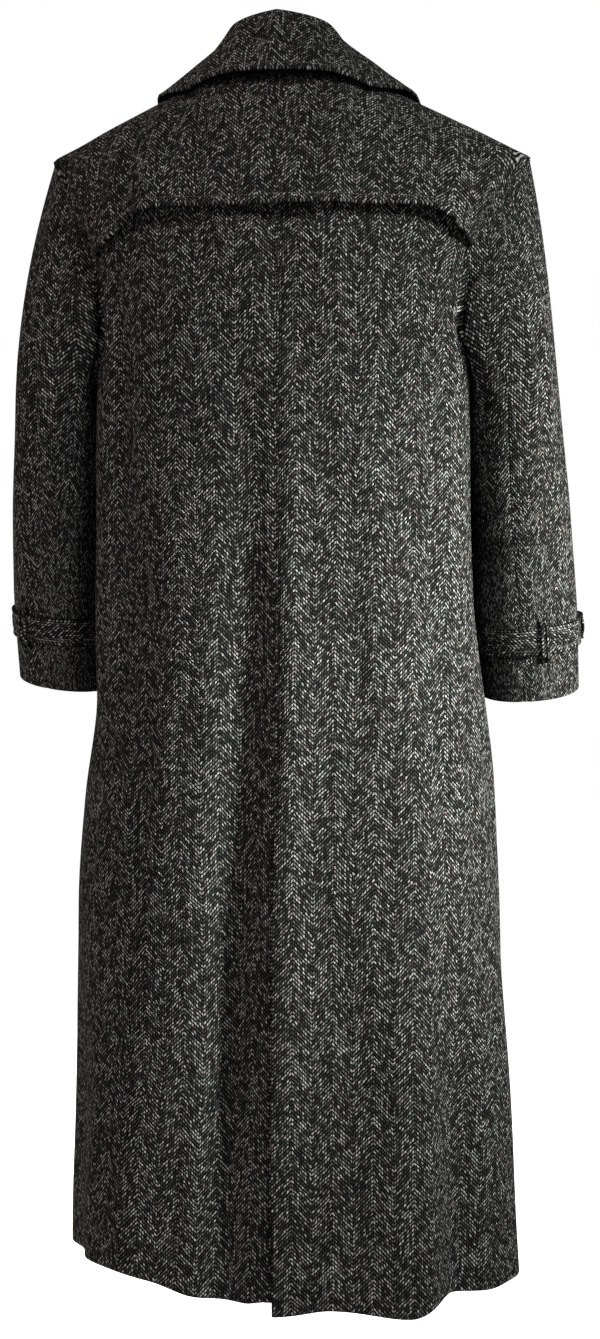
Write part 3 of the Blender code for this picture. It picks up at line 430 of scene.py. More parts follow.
# Creases of the sleeves, in metres: across is measured round from the outer side towards the back, and along
# is measured down from the armhole
SLEEVE_CREASES = {
    1: table(
        Crease,
        (0.062, 0.130, 0.064, 0.300, 0.0024, 0.006, 0.002),
        (0.040, 0.120, 0.044, 0.320, 0.0026, 0.007, -0.002),
        (0.052, 0.140, 0.055, 0.310, -0.0020, 0.006, 0.001),
        (0.068, 0.352, 0.150, 0.372, -0.0048, 0.008, 0.004),
        (0.084, 0.384, 0.160, 0.402, -0.0036, 0.007, -0.003),
        (0.060, 0.368, 0.120, 0.390, 0.0030, 0.008, 0.003),
        (0.010, 0.180, 0.020, 0.430, -0.0022, 0.011, 0.004),
        (0.112, 0.150, 0.130, 0.300, -0.0026, 0.009, 0.004),
        (-0.040, 0.330, -0.110, 0.352, -0.0030, 0.010, 0.004),
        (-0.030, 0.372, -0.100, 0.386, 0.0020, 0.009, 0.002),
        (-0.060, 0.100, -0.048, 0.300, -0.0022, 0.012, 0.004),
        (0.176, 0.010, 0.176, 0.250, 0.0052, 0.016, 0.000),
        (0.070, 0.026, 0.168, 0.030, -0.0090, 0.020, 0.000),
    ),
    -1: table(
        Crease,
        (0.050, 0.140, 0.060, 0.360, 0.0024, 0.009, 0.003),
        (0.072, 0.120, 0.078, 0.300, -0.0024, 0.008, -0.002),
        (0.060, 0.340, 0.140, 0.362, -0.0032, 0.009, 0.004),
        (0.074, 0.380, 0.150, 0.394, 0.0022, 0.008, -0.003),
        (0.016, 0.200, 0.024, 0.440, -0.0024, 0.010, 0.003),
        (0.110, 0.160, 0.126, 0.290, -0.0026, 0.010, 0.003),
        (-0.036, 0.340, -0.106, 0.360, -0.0030, 0.010, 0.004),
        (-0.056, 0.110, -0.046, 0.310, -0.0020, 0.012, 0.004),
        (0.164, 0.120, 0.164, 0.370, 0.0030, 0.015, 0.000),
        (0.070, 0.026, 0.168, 0.030, -0.0070, 0.020, 0.000),
    ),
}
SLEEVE_CREASE_ENDS = (0.01, 0.11, 1.55, 1.70)

# The collar's guide lines: how far round the neck, the stand's height and lean, and the place of its edge
CollarStation = namedtuple("CollarStation", "round stand lean edge_bearing edge_rise lift")
COLLAR = table(
    CollarStation,
    (0.00, 0.0575, 0.005, 0.0, 1.945, 0.0215),
    (0.45, 0.0510, 0.016, 7.5, 1.938, 0.0170),
    (0.80, 0.0430, 0.027, 15.5, 1.920, 0.0105),
    (1.00, 0.0370, 0.030, 25.5, 2.000, 0.0080),
    (1.30, 0.0220, 0.018, 28.5, 1.900, 0.0070),
    (1.65, 0.0085, 0.005, 32.0, 1.810, 0.0070),
    (2.00, 0.0045, 0.001, 34.0, 1.735, 0.0065),
)

# A button's profile, from the middle of its face over the rim to the middle of its back
Turning = namedtuple("Turning", "step radius_part depth_part")
BUTTON_PROFILE = table(
    Turning,
    (0.00, 0.00, 0.58),
    (0.22, 0.40, 0.58),
    (0.36, 0.62, 0.66),
    (0.46, 0.74, 0.92),
    (0.55, 0.86, 1.00),
    (0.66, 0.97, 0.88),
    (0.72, 1.00, 0.70),
    (0.80, 0.93, 0.46),
    (0.88, 0.62, 0.34),
    (0.93, 0.32, 0.28),
    (0.96, 0.28, 0.00),
    (1.00, 0.00, 0.00),
)
BUTTON_SIDES = 72
BUTTON_RINGS = 46
BUTTON_HOLE_OUT = 0.20
BUTTON_HOLE_SIZE = 0.085
BUTTON_HOLE_DEPTH = 0.30
BUTTON_HOLE_EDGE = (0.6, 1.3)
BUTTON_FACE_END = 0.5
BUTTON_FACE_EASE = 0.02


# Smooth curves and small helpers


class Profile:
    """A smooth curve through one column of a table, read at values of the table's first column."""

    def __init__(self, table, column):
        rows = sorted(table, key=lambda row: row[0])
        self.keys = np.array([row[0] for row in rows])
        self.values = np.array([getattr(row, column) for row in rows])
        slopes = np.diff(self.values) / np.diff(self.keys)
        before = slopes[:-1]
        after = slopes[1:]
        together = before * after > 0
        total = np.where(together, before + after, 1.0)
        middle = np.where(together, 2 * before * after / total, 0.0)
        self.slopes = np.concatenate([slopes[:1], middle, slopes[-1:]])

    def __call__(self, at):
        at = np.clip(at, self.keys[0], self.keys[-1])
        place = np.clip(np.searchsorted(self.keys, at, side="right") - 1, 0, len(self.keys) - 2)
        span = self.keys[place + 1] - self.keys[place]
        part = (at - self.keys[place]) / span
        left = self.values[place]
        right = self.values[place + 1]
        step = part * part * (3 - 2 * part)
        bend_left = span * self.slopes[place] * part * (1 - part) ** 2
        bend_right = span * self.slopes[place + 1] * part * part * (1 - part)
        return left + (right - left) * step + bend_left - bend_right


HALF_WIDTH = {1: Profile(LEVELS, "right"), -1: Profile(LEVELS, "left")}
DEPTH = {-1: Profile(LEVELS, "back"), 1: Profile(LEVELS, "front")}
HEM_HEIGHT = Profile(HEMS, "height")
ARMHOLE_HALF = Profile(ARMHOLES, "half")
ARMHOLE_CUT = {-1: Profile(ARMHOLES, "back_cut"), 1: Profile(ARMHOLES, "front_cut")}
RING = {side: {name: Profile(rows, name) for name in Ring._fields[1:]} for side, rows in RINGS.items()}
COLLAR_LINE = {name: Profile(COLLAR, name) for name in CollarStation._fields[1:]}
BUTTON_LINE = {name: Profile(BUTTON_PROFILE, name) for name in Turning._fields[1:]}


def ease(low, high, value):
    """0 up to low, 1 from high on, and a smooth step between them."""
    part = np.clip((value - low) / (high - low), 0.0, 1.0)
    return part * part * (3 - 2 * part)


def power(value, exponent):
    return np.copysign(np.abs(value) ** exponent, value)


def unit(vectors):
    return vectors / np.maximum(np.linalg.norm(vectors, axis=-1, keepdims=True), 1e-12)


def wrapped(value, period):
    return (value + period / 2) % period - period / 2


def scaled(vectors, amounts):
    return vectors * np.asarray(amounts)[..., None]


def mixed(start, end, part):
    return start + (end - start) * part


def bell(away):
    """1 in the middle of a fold, falling smoothly to 0 at two widths from it."""
    return np.cos(np.pi / 4 * np.clip(away, -2.0, 2.0)) ** 4


def square_to(vectors, directions):
    """What is left of vectors when their parts along unit directions are taken away."""
    return vectors - directions * np.sum(vectors * directions, axis=-1, keepdims=True)


def face_normals(points):
    """The directions square to a grid, all on one side of it."""
    return unit(np.cross(np.gradient(points, axis=0), np.gradient(points, axis=1)))


def summed(steps, axis=0):
    """Running totals of steps along an axis, from 0."""
    start = np.zeros_like(np.take(steps, [0], axis=axis))
    return np.concatenate([start, np.cumsum(steps, axis=axis)], axis=axis)


def run_lengths(points, axis):
    """How far along an axis of the grid each point is from the grid's start."""
    return summed(np.linalg.norm(np.diff(points, axis=axis), axis=-1), axis)


def half_width(right, height):
    """Half the body's width at heights, on its right side or its left."""
    return np.where(right, HALF_WIDTH[1](height), HALF_WIDTH[-1](height))


# The body's surface


def oval(bearing):
    """The body's rounded oblong section, one unit across and one unit deep each way, at bearings."""
    turn = np.radians(bearing)
    return power(np.sin(turn), 2 / SQUARENESS), -power(np.cos(turn), 2 / SQUARENESS)


def back_bearing_at(part):
    """The bearing on the back where the section is this part of its half width across."""
    return np.degrees(np.arcsin(power(np.clip(part, -1.0, 1.0), SQUARENESS / 2)))


def quarter_lengths():
    """Bearings from 0 to 90, and how far round the back's quarter each is, as a part of its length."""
    part = np.linspace(0.0, 1.0, ROUND_STEPS + 1)
    bearings = 90.0 * part * part * (3 - 2 * part)
    middle = LEVELS[len(LEVELS) // 2]
    across, along = oval(bearings)
    spots = np.stack([middle.right * across, middle.back * along], axis=-1)
    lengths = run_lengths(spots, 0)
    return bearings, lengths / lengths[-1]


QUARTER_BEARINGS, QUARTER_PARTS = quarter_lengths()


def place_round(bearing):
    """How far round the body a bearing is, in quarters: 0 at the centre back and 2 at the centre front."""
    turn = wrapped(bearing, 360.0)
    from_back = np.interp(90.0 - np.abs(90.0 - np.abs(turn)), QUARTER_BEARINGS, QUARTER_PARTS)
    return np.where(turn >= 0, 1.0, -1.0) * np.where(np.abs(turn) <= 90.0, from_back, 2.0 - from_back)


def signed_bearing(place):
    """The bearing that lies this many quarters from a middle line, up to one and a half each way."""
    near = 1.0 - np.abs(1.0 - np.abs(place))
    bearing = np.interp(near, QUARTER_PARTS, QUARTER_BEARINGS)
    return np.sign(place) * np.where(np.abs(place) <= 1.0, bearing, 180.0 - bearing)


def crease_depth(creases, across, along, period=None):
    """How far the listed creases move the cloth out, at places given in metres on the flat cloth."""
    total = np.zeros(np.broadcast(across, along).shape)
    for crease in creases:
        run_across = crease.end_across - crease.across
        run_along = crease.end_along - crease.along
        length = math.hypot(run_across, run_along)
        from_across = across - crease.across
        if period:
            from_across = wrapped(from_across, period)
        from_along = along - crease.along
        part = np.clip((from_across * run_across + from_along * run_along) / length**2, 0.0, 1.0)
        away = (from_across * run_along - from_along * run_across) / length
        away = (away - crease.bow * np.sin(np.pi * part)) / crease.width
        reach = np.sin(np.pi * part) ** CREASE_FADE
        total += crease.depth * reach * np.exp(-away * away) * (1 - CREASE_LIP * away * away)
    return total


def ripple(across, along, seed):
    """The small unevenness of hung wool: long shallow waves that run mostly down the cloth."""
    draws = np.random.default_rng(seed)
    total = np.zeros(np.broadcast(across, along).shape)
    for _ in range(RIPPLE_WAVES):
        wave_across = draws.uniform(*RIPPLE_ACROSS) * draws.choice((-1.0, 1.0))
        wave_along = draws.uniform(*RIPPLE_ALONG)
        phase = draws.uniform(0.0, 2 * np.pi)
        total += np.sin(2 * np.pi * (across / wave_across + along / wave_along) + phase)
    return total * RIPPLE / RIPPLE_WAVES


def fold_depth(bearing, height):
    """How far folds, creases and unevenness move the cloth out at a bearing and a height."""
    here = place_round(bearing)
    depth = np.zeros(here.shape)
    for fold in FOLDS:
        grown = ease(-fold.top, -fold.full, -height)
        reach = grown * (1 - ease(-fold.low, -fold.end, -height))
        centre = mixed(fold.top_place, fold.end_place, grown)
        depth = depth + fold.depth * reach * bell(wrapped(here - centre, 4.0) / fold.width)
    across = here * QUARTER_LENGTH
    depth = depth + crease_depth(BODY_CREASES, across, height, 4 * QUARTER_LENGTH)
    return depth + ripple(across, height, RIPPLE_SEED) * (1 - ease(*RIPPLE_END, np.abs(here)))


def top_line(across_part):
    """Depth, height and distance from the neck of the neckline or shoulder seam, this far across."""
    across = across_part * SHOULDER_HALF
    from_neck = np.abs(across - NECK_CENTRE) / NECK_HALF
    around = np.sqrt(np.maximum(1 - from_neck**2, 0.0))
    outside = np.maximum(from_neck - 1, 0.0) * NECK_HALF / (SHOULDER_HALF - NECK_HALF)
    height = NECK_TOP - NECK_DIP * around - SHOULDER_DROP * outside
    return NECK_BACK * around, height, np.minimum(from_neck, 1.0)


def body_point(bearing, rise, hem_bearing=None):
    """Points of the body's outer face, on the hem of another bearing where one is given."""
    bearing, rise = np.broadcast_arrays(bearing, rise)
    across, along = oval(bearing)
    right = across >= 0
    front = along >= 0
    hem = HEM_HEIGHT(wrapped(bearing if hem_bearing is None else hem_bearing, 360.0))
    low_height = hem + np.minimum(rise, 1.0) * (UNDERARM - hem)
    low_half = half_width(right, low_height)
    depth = np.where(front, DEPTH[1](low_height), DEPTH[-1](low_height))
    climb = np.clip(rise - 1, 0.0, 1.0)
    wider = half_width(right, UNDERARM) - ARMHOLES[0].half
    half = np.where(rise > 1, ARMHOLE_HALF(climb) + wider * (1 - climb), low_half)
    neck_depth, top_height, from_neck = top_line(across)
    first = mixed(NAPE_ROLL[0], SHOULDER_ROLL[0], from_neck)
    second = mixed(NAPE_ROLL[1], SHOULDER_ROLL[1], from_neck)
    roll = (1 - climb**first) ** (1 / second)
    top_along = np.where(front, neck_depth, -neck_depth)
    high_along = top_along + (along * depth - top_along) * roll
    height = np.where(rise > 1, UNDERARM + climb * (top_height - UNDERARM), low_height)
    place = np.stack([across * half, np.where(rise > 1, high_along, along * depth), height], axis=-1)
    out_across = power(across, SQUARENESS - 1) / half
    out_along = power(along, SQUARENESS - 1) / depth
    out = unit(np.stack([out_across, out_along, np.zeros(out_across.shape)], axis=-1))
    return place + scaled(out, fold_depth(bearing, height))


def body_normal(bearing, rise):
    """The directions straight out of the body's outer face."""
    step = 0.6
    reach = 0.03
    across = body_point(bearing + step, rise) - body_point(bearing - step, rise)
    upper = body_point(bearing, np.minimum(rise + reach, 2.0))
    lower = body_point(bearing, np.maximum(rise - reach, 0.0))
    normal = unit(np.cross(across, upper - lower))
    on_seam = (np.asarray(rise) >= 2.0) & (top_line(oval(bearing)[0])[0] < SEAM_GAP)
    normal[..., 1] = np.where(on_seam, 0.0, normal[..., 1])
    return unit(normal)


def armhole_bearing(side, face, rise):
    """The bearing of a panel's outer edge: the side seam up to the underarm and the armhole above it."""
    cut = np.where(rise > 1, ARMHOLE_CUT[face](rise - 1), 0.0)
    return side * (90.0 + face * cut)


def neck_bearing(side):
    """The bearing of the inner end of a shoulder seam on the back."""
    return back_bearing_at((NECK_CENTRE + side * NECK_HALF) / SHOULDER_HALF)


def front_edge_bearing(side, rise):
    """The bearing of a front's inner edge: its lapped edge up to the break, then the roll line."""
    rise = np.asarray(rise, float)
    lap = -side * LAP
    neck = NECK_CENTRE + side * NECK_HALF
    across = mixed(lap, neck, np.maximum(rise - BREAK_RISE, 0.0) / (2 - BREAK_RISE))
    height = body_point(180.0, np.minimum(rise, 1.0))[..., 2]
    low_half = half_width(across >= 0, height)
    half = np.where(rise <= 1, low_half, ARMHOLE_HALF(rise - 1))
    return side * (180.0 - side * back_bearing_at(across / half))


def front_point(side, bearing, rise, out=0.0):
    """Points on a front, moved out from its outer face. The right front stands out where it laps."""
    base = body_point(bearing, rise)
    lift = LAP_LIFT * ease(-LAP - LAP_EASE, -LAP, -base[..., 0]) if side > 0 else np.zeros(base.shape[:-1])
    return base + scaled(body_normal(bearing, rise), lift + out)


def front_place(across, height):
    """The bearing and rise of the points of the front that lie at distances across and heights."""
    climb = np.full(np.shape(across), 0.5)
    for _ in range(TRIES):
        bearing = 180.0 - back_bearing_at(across / ARMHOLE_HALF(climb))
        top_height = top_line(oval(bearing)[0])[1]
        climb = np.clip((height - UNDERARM) / (top_height - UNDERARM), 0.0, 1.0)
    return bearing, 1 + climb


def back_point(side, bearing, rise):
    """Points on a half of the back, hollow under the yoke's edge, with the vent's step in and flare."""
    base = body_point(bearing, rise)
    across = base[..., 0]
    below = (yoke_edge_height(across) - base[..., 2] - YOKE_HOLLOW_BELOW) / YOKE_HOLLOW_REACH
    hollow = YOKE_HOLLOW * np.exp(-below * below) * (1 - ease(*YOKE_HOLLOW_ENDS, np.abs(across)))
    if side < 0:
        open_part = 1 - ease(VENT_RISE, VENT_RISE + VENT_EASE, rise)
        lift = -VENT_DEPTH * open_part * ease(-VENT_TURN, -VENT_TURN_END, across)
        hem_bearing = np.minimum(bearing, -VENT_HEM_STEP)
    else:
        lift = VENT_FLARE * (1 - ease(0.0, VENT_RISE, rise)) * ease(-VENT_TURN, 0.0, -across)
        open_part = 1 - ease(VENT_RISE - VENT_EASE, VENT_RISE, rise)
        lift = lift + VENT_STAND_OFF * open_part * ease(-VENT_TURN / 3, 0.0, -across)
        hem_bearing = bearing
    return body_point(bearing, rise, hem_bearing) + scaled(body_normal(bearing, rise), lift - hollow)


# Sleeves


def armhole_place(side, turn):
    """The bearing and rise of the armhole's edge at turns of the sleeve."""
    around = turn % 360.0
    rise = 1 + (1 + np.cos(np.radians(around))) / 2
    back = armhole_bearing(side, -1, rise)
    front = armhole_bearing(side, 1, rise)
    return np.where(around <= 180.0, back, front), rise


def armhole_point(side, turn):
    return body_point(*armhole_place(side, turn))


def armhole_out(side, turn):
    """The directions that carry on past the panel's edge at the armhole, in the panel's own face."""
    step = 2.0
    along = armhole_point(side, turn + step) - armhole_point(side, turn - step)
    return unit(np.cross(body_normal(*armhole_place(side, turn)), along)) * side


def tube_point(side, turn, fall):
    """Points of the sleeve below the underarm."""
    top = RINGS[side][-1].height
    cuff = RINGS[side][0].height
    height = top + (cuff - top) * (fall - 1)
    ring = {name: profile(height) for name, profile in RING[side].items()}
    angle = np.radians(turn)
    swell = np.zeros(np.broadcast(turn, fall).shape)
    for fold in SLEEVE_FOLDS[side]:
        middle = (fold.top + fold.cuff) / 2
        reach = ease(fold.top, middle, fall) * (1 - ease(middle, fold.cuff, fall))
        swell = swell + fold.depth * reach * bell(wrapped(turn - fold.turn, 360.0) / fold.width)
    out = (ring["half_width"] + swell) * power(np.cos(angle), SLEEVE_ROUNDNESS)
    back = (ring["half_depth"] + swell) * power(np.sin(angle), SLEEVE_ROUNDNESS)
    rise = -back * ring["tilt"] + out * ring["lean"]
    parts = np.broadcast_arrays(side * (ring["across"] + out), ring["ahead"] - back, height + rise)
    return np.stack(parts, axis=-1)


def hermite(start, start_pull, end, end_pull, part):
    square = part * part
    cube = square * part
    first = (2 * cube - 3 * square + 1) * start + (cube - 2 * square + part) * start_pull
    second = (3 * square - 2 * cube) * end + (cube - square) * end_pull
    return first + second


def sleeve_form(side, turn, fall):
    """Points of the plain sleeve: the cap swings from the armhole into the tube below."""
    turn, fall = np.broadcast_arrays(turn, fall)
    start = armhole_point(side, turn) - armhole_out(side, turn) * SLEEVE_LAP
    end = tube_point(side, turn, np.ones(turn.shape))
    pull = np.linalg.norm(end - start, axis=-1, keepdims=True)
    inward = np.sqrt(np.maximum((1 - np.cos(np.radians(turn))) / 2, 0.0))
    sleeve = SLEEVES[side]
    outward = mixed(sleeve.cap_spring, sleeve.under_spring, inward)
    leave = np.stack([side * outward, np.zeros(turn.shape), -np.sqrt(1 - outward**2)], axis=-1)
    below = 0.05
    arrive = unit(tube_point(side, turn, np.full(turn.shape, 1 + below)) - end)
    part = np.minimum(fall, 1.0)[..., None]
    cap = hermite(start, leave * pull, end, arrive * pull, part)
    return np.where(fall[..., None] >= 1, tube_point(side, turn, fall), cap)


def sleeve_normal(side, turn, fall):
    """The directions straight out of the sleeve's outer face."""
    step = 1.5
    reach = 0.03
    around = sleeve_form(side, turn + step, fall) - sleeve_form(side, turn - step, fall)
    lower = sleeve_form(side, turn, np.minimum(fall + reach, 2.0))
    upper = sleeve_form(side, turn, np.maximum(fall - reach, 0.0))
    return unit(np.cross(around, lower - upper)) * side


def sleeve_point(side, turn, fall, out=0.0):
    """Points of the sleeve with its creases, moved out from its outer face."""
    turn, fall = np.broadcast_arrays(turn, fall)
    across = np.radians(wrapped(turn, 360.0)) * SLEEVE_RADIUS
    along = fall * SLEEVE_RUN
    depth = crease_depth(SLEEVE_CREASES[side], across, along, 2 * np.pi * SLEEVE_RADIUS)
    first, second, third, fourth = SLEEVE_CREASE_ENDS
    depth = depth * ease(first, second, fall) * (1 - ease(third, fourth, fall))
    return sleeve_form(side, turn, fall) + scaled(sleeve_normal(side, turn, fall), depth + out)


def climb_turn(climb):
    """The turn on the sleeve's back half that leaves the armhole at this part of its height."""
    return math.degrees(math.acos(2 * climb - 1))


def fall_at(side, height):
    """The fall on a sleeve at a height above its cuff's edge."""
    return 2.0 - height / (RINGS[side][-1].height - RINGS[side][0].height)


def strap_falls(side):
    """The falls of the strap's upper edge, middle and lower edge."""
    return [fall_at(side, STRAP_CENTRE + part * STRAP_WIDTH / 2) for part in (1, 0, -1)]


def strap_lift(side, turn):
    """How far the strap's inner face stands off the sleeve, rising where its end lies on its start."""
    sleeve = SLEEVES[side]
    meeting = sleeve.strap_start + 360.0
    rise = (STRAP_CLOTH + STRAP_CLEAR) * ease(meeting - STRAP_CLIMB[0], meeting - STRAP_CLIMB[1], turn)
    tip = STRAP_TIP_PART * (sleeve.strap_end - meeting)
    flare = sleeve.tip_flare * ease(sleeve.strap_end - tip, sleeve.strap_end, turn)
    return STRAP_CLEAR + rise + flare


# Grids and shells


def graded(length, inset=CLOTH / 2, cell=CELL):
    """Parts from end to end of a length, inset at both ends and closer together there."""
    rows = inset + np.array(BORDER_ROWS)
    count = max(int(round((length - 2 * rows[-1]) / cell)), 2)
    middle = np.linspace(rows[-1], length - rows[-1], count + 1)
    return np.concatenate([rows[:-1], middle, length - rows[-2::-1]]) / length


def grid_normals(points, towards):
    """The directions straight out of a grid, on the side that is nearer to the given directions."""
    normals = face_normals(points)
    same = np.sum(normals * towards) >= 0
    return normals if same else -normals


def seam_dip(distance):
    """How far a seam draws the cloth in at distances from it."""
    return SEAM_DIP * np.exp(-((distance / SEAM_REACH) ** 2))


def border_dip(points, sewn):
    """How far seams draw the cloth in beside the sewn ones of a grid's borders.

    The borders are the first row, the last row, the first column and the last column.
    """
    down = run_lengths(points, 0)
    across = run_lengths(points, 1)
    ways = (down, down[-1:] - down, across, across[:, -1:] - across)
    total = np.zeros(points.shape[:2])
    for way, drawn in zip(ways, sewn):
        if drawn:
            total = np.maximum(total, seam_dip(way))
    return total


def groove(distance, centre):
    """A shallow channel along a line of stitches."""
    return -STITCH_GROOVE * np.exp(-(((distance - centre) / STITCH_GROOVE_REACH) ** 2))


def border_edges(cells):
    """The starts, ends and owners of the sides that only one cell has, each as a row and a column."""
    rows, columns = np.nonzero(cells)
    padded = np.pad(cells, 1)
    beside = ((-1, 0), (0, 1), (1, 0), (0, -1))
    edges = []
    for place, (row_step, column_step) in enumerate(beside):
        free = ~padded[rows + 1 + row_step, columns + 1 + column_step]
        here = np.stack([rows[free], columns[free]], axis=-1)
        edges.append((here + CELL_CORNERS[place], here + CELL_CORNERS[(place + 1) % 4], here))
    return [np.concatenate(kind) for kind in zip(*edges)]


def add_shell(name, outer, inner, uv, material, cells=None):
    """A closed cloth between two grids, with a half-round rim along all its borders."""
    row_count, column_count = outer.shape[:2]
    if cells is None:
        cells = np.ones((row_count - 1, column_count - 1), bool)
    count = row_count * column_count
    number = np.arange(count).reshape(row_count, column_count)
    rows, columns = np.nonzero(cells)
    faces = np.stack([number[rows + down, columns + across] for down, across in CELL_CORNERS], axis=-1)
    starts, ends, owners = border_edges(cells)
    first = number[starts[:, 0], starts[:, 1]]
    last = number[ends[:, 0], ends[:, 1]]
    flat_outer = outer.reshape(-1, 3)
    flat_inner = inner.reshape(-1, 3)
    centre = (flat_outer + flat_inner) / 2
    half = (flat_outer - flat_inner) / 2
    owner = number[owners[:, 0], owners[:, 1]]
    across_owner = number[owners[:, 0] + 1, owners[:, 1] + 1]
    out = (centre[first] + centre[last] - centre[owner] - centre[across_owner]) / 2
    run = unit(centre[last] - centre[first])
    out = unit(square_to(out, run))
    away = np.zeros((count, 3))
    np.add.at(away, first, out)
    np.add.at(away, last, out)
    rim = np.unique(np.concatenate([first, last]))
    away = unit(away[rim] - half[rim] * np.sum(away[rim] * unit(half[rim]), axis=-1, keepdims=True))
    thick = np.linalg.norm(half[rim], axis=-1, keepdims=True)
    points = [flat_outer, flat_inner]
    flat_uv = uv.reshape(-1, 2)
    all_uv = [flat_uv, flat_uv]
    layers = [np.arange(count)]
    total = 2 * count
    for angle in RIM_ANGLES:
        points.append(centre[rim] + half[rim] * np.cos(angle) + away * thick * np.sin(angle))
        all_uv.append(flat_uv[rim])
        layer = np.zeros(count, int)
        layer[rim] = total + np.arange(len(rim))
        layers.append(layer)
        total += len(rim)
    layers.append(np.arange(count) + count)
    all_faces = [faces, faces[:, ::-1] + count]
    for upper, lower in zip(layers[:-1], layers[1:]):
        all_faces.append(np.stack([upper[last], upper[first], lower[first], lower[last]], axis=-1))
    joined = [np.concatenate(values) for values in (points, all_faces, all_uv)]
    return add_mapped(name, *joined, material)


def add_mapped(name, points, faces, uv, material):
    """A smooth mesh of the points that its faces use, turned to face outwards, with a map in metres."""
    used = np.unique(faces)
    places = np.zeros(len(points), int)
    places[used] = np.arange(len(used))
    points = points[used]
    faces = places[faces]
    corners = points[faces]
    volume = 0.0
    for second, third in ((1, 2), (2, 3)):
        volume += np.sum(corners[:, 0] * np.cross(corners[:, second], corners[:, third]))
    if volume < 0:
        faces = faces[:, ::-1]
    piece = add_mesh(name, points.tolist(), faces.tolist(), material)
    layer = piece.data.uv_layers.new(name="cloth_map")
    layer.data.foreach_set("uv", uv[used][faces.ravel()].ravel())
    return piece


def add_mesh(name, points, faces, material):
    """A new object with a smooth mesh."""
    mesh = bpy.data.meshes.new(name)
    mesh.from_pydata(points, [], faces)
    mesh.shade_smooth()
    mesh.materials.append(material)
    return add_object(name, mesh)


def add_object(name, data):
    """A new object in the scene."""
    made = bpy.data.objects.new(name, data)
    bpy.context.scene.collection.objects.link(made)
    return made


def add_cloth(node, outer, thickness, towards, uv, cells=None):
    """A piece of cloth over a grid of its outer face, which replaces its node."""
    inner = outer - scaled(grid_normals(outer, towards), np.broadcast_to(thickness, outer.shape[:2]))
    piece_number = sum(other.name.endswith("_cloth") for other in bpy.data.objects)
    uv = shifted_map(uv, piece_number)
    piece = add_shell(f"{node}_cloth", outer, inner, uv, tweed_material(), cells)
    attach(piece, BODY)
    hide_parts(node)
    return piece


def cloth_map(points, across_start, along_start):
    """A flat map of a grid in metres, along its rows and square to them, from one column and one row."""
    across = run_lengths(points, 1)
    level = unit(np.gradient(points, axis=1))
    down = square_lengths(points, level)
    return np.stack([across - across[:, across_start : across_start + 1], down[along_start] - down], axis=-1)


def hung_map(points, across_start, along_start, height=None):
    """A flat map of hung cloth in metres, along level lines and square to them.

    The level lines of each column are those of its place in one row. The map's zero is at one column, and at
    that row or at one height.
    """
    level = level_lines(points, along_start)
    across = run_along(points, level, 1)
    across = across - across[:, across_start : across_start + 1]
    drift = run_along(points[:, across_start], level[:, across_start])
    across = across + (drift - drift[along_start])[:, None]
    down = square_lengths(points, level)
    zero = down[along_start]
    if height is not None:
        columns = range(points.shape[1])
        zero = np.array([np.interp(height, points[:, column, 2], down[:, column]) for column in columns])
    return np.stack([across, zero - down], axis=-1)


def sleeve_map(points, across_start, along_start):
    """A flat map of a sleeve's grid in metres, up and down each column from one row round the arm."""
    level = level_lines(points, along_start)
    drift = run_along(points, level)
    row = run_lengths(points, 1)[along_start]
    down = square_lengths(points, level)
    across = row - row[across_start] + drift - drift[along_start]
    return np.stack([across, down[along_start] - down], axis=-1)


def level_lines(points, along_start):
    """The directions across the cloth, which in each column are those of its place in one row."""
    level = np.gradient(points[along_start], axis=0) * np.array([1.0, 1.0, 0.0])
    return unit(square_to(np.broadcast_to(unit(level), points.shape), face_normals(points)))


def halfway(directions, axis):
    """The directions halfway between each two neighbours along an axis."""
    return unit(np.delete(directions, 0, axis=axis) + np.delete(directions, -1, axis=axis))


def run_along(points, level, axis=0):
    """How far points have come in the given directions, step by step along an axis."""
    steps = np.diff(points, axis=axis) * halfway(level, axis)
    return summed(np.sum(steps, axis=-1), axis)


def square_lengths(points, level):
    """How far down its column each point is from the top row, measured square to the given directions."""
    steps = square_to(np.diff(points, axis=0), halfway(level, 0))
    return summed(np.linalg.norm(steps, axis=-1))


def shifted_map(uv, piece_number):
    """A map moved by whole repeats of the weave, so that no two pieces have the same flecks."""
    return uv + np.array([MAP_SHIFT * piece_number, 0.0])


# Rows and columns of the body


def rise_rows(side, face, middle_bearing):
    """The rises of a panel's rows, with no long step in its middle or at its armhole edge."""
    lower_count = 200
    upper_count = 1600
    lower = np.linspace(0.0, 1.0, lower_count, endpoint=False)
    upper = 2.0 - (1 - np.linspace(0.0, 1.0, upper_count)) ** 3
    rises = np.concatenate([lower, upper])
    middle = body_point(np.full(rises.shape, middle_bearing), rises)
    edge = body_point(armhole_bearing(side, face, rises), rises)
    steps = [np.linalg.norm(np.diff(points, axis=0), axis=-1) for points in (middle, edge)]
    lengths = summed(np.maximum(*steps))
    return np.interp(graded(lengths[-1]) * lengths[-1], lengths, rises)


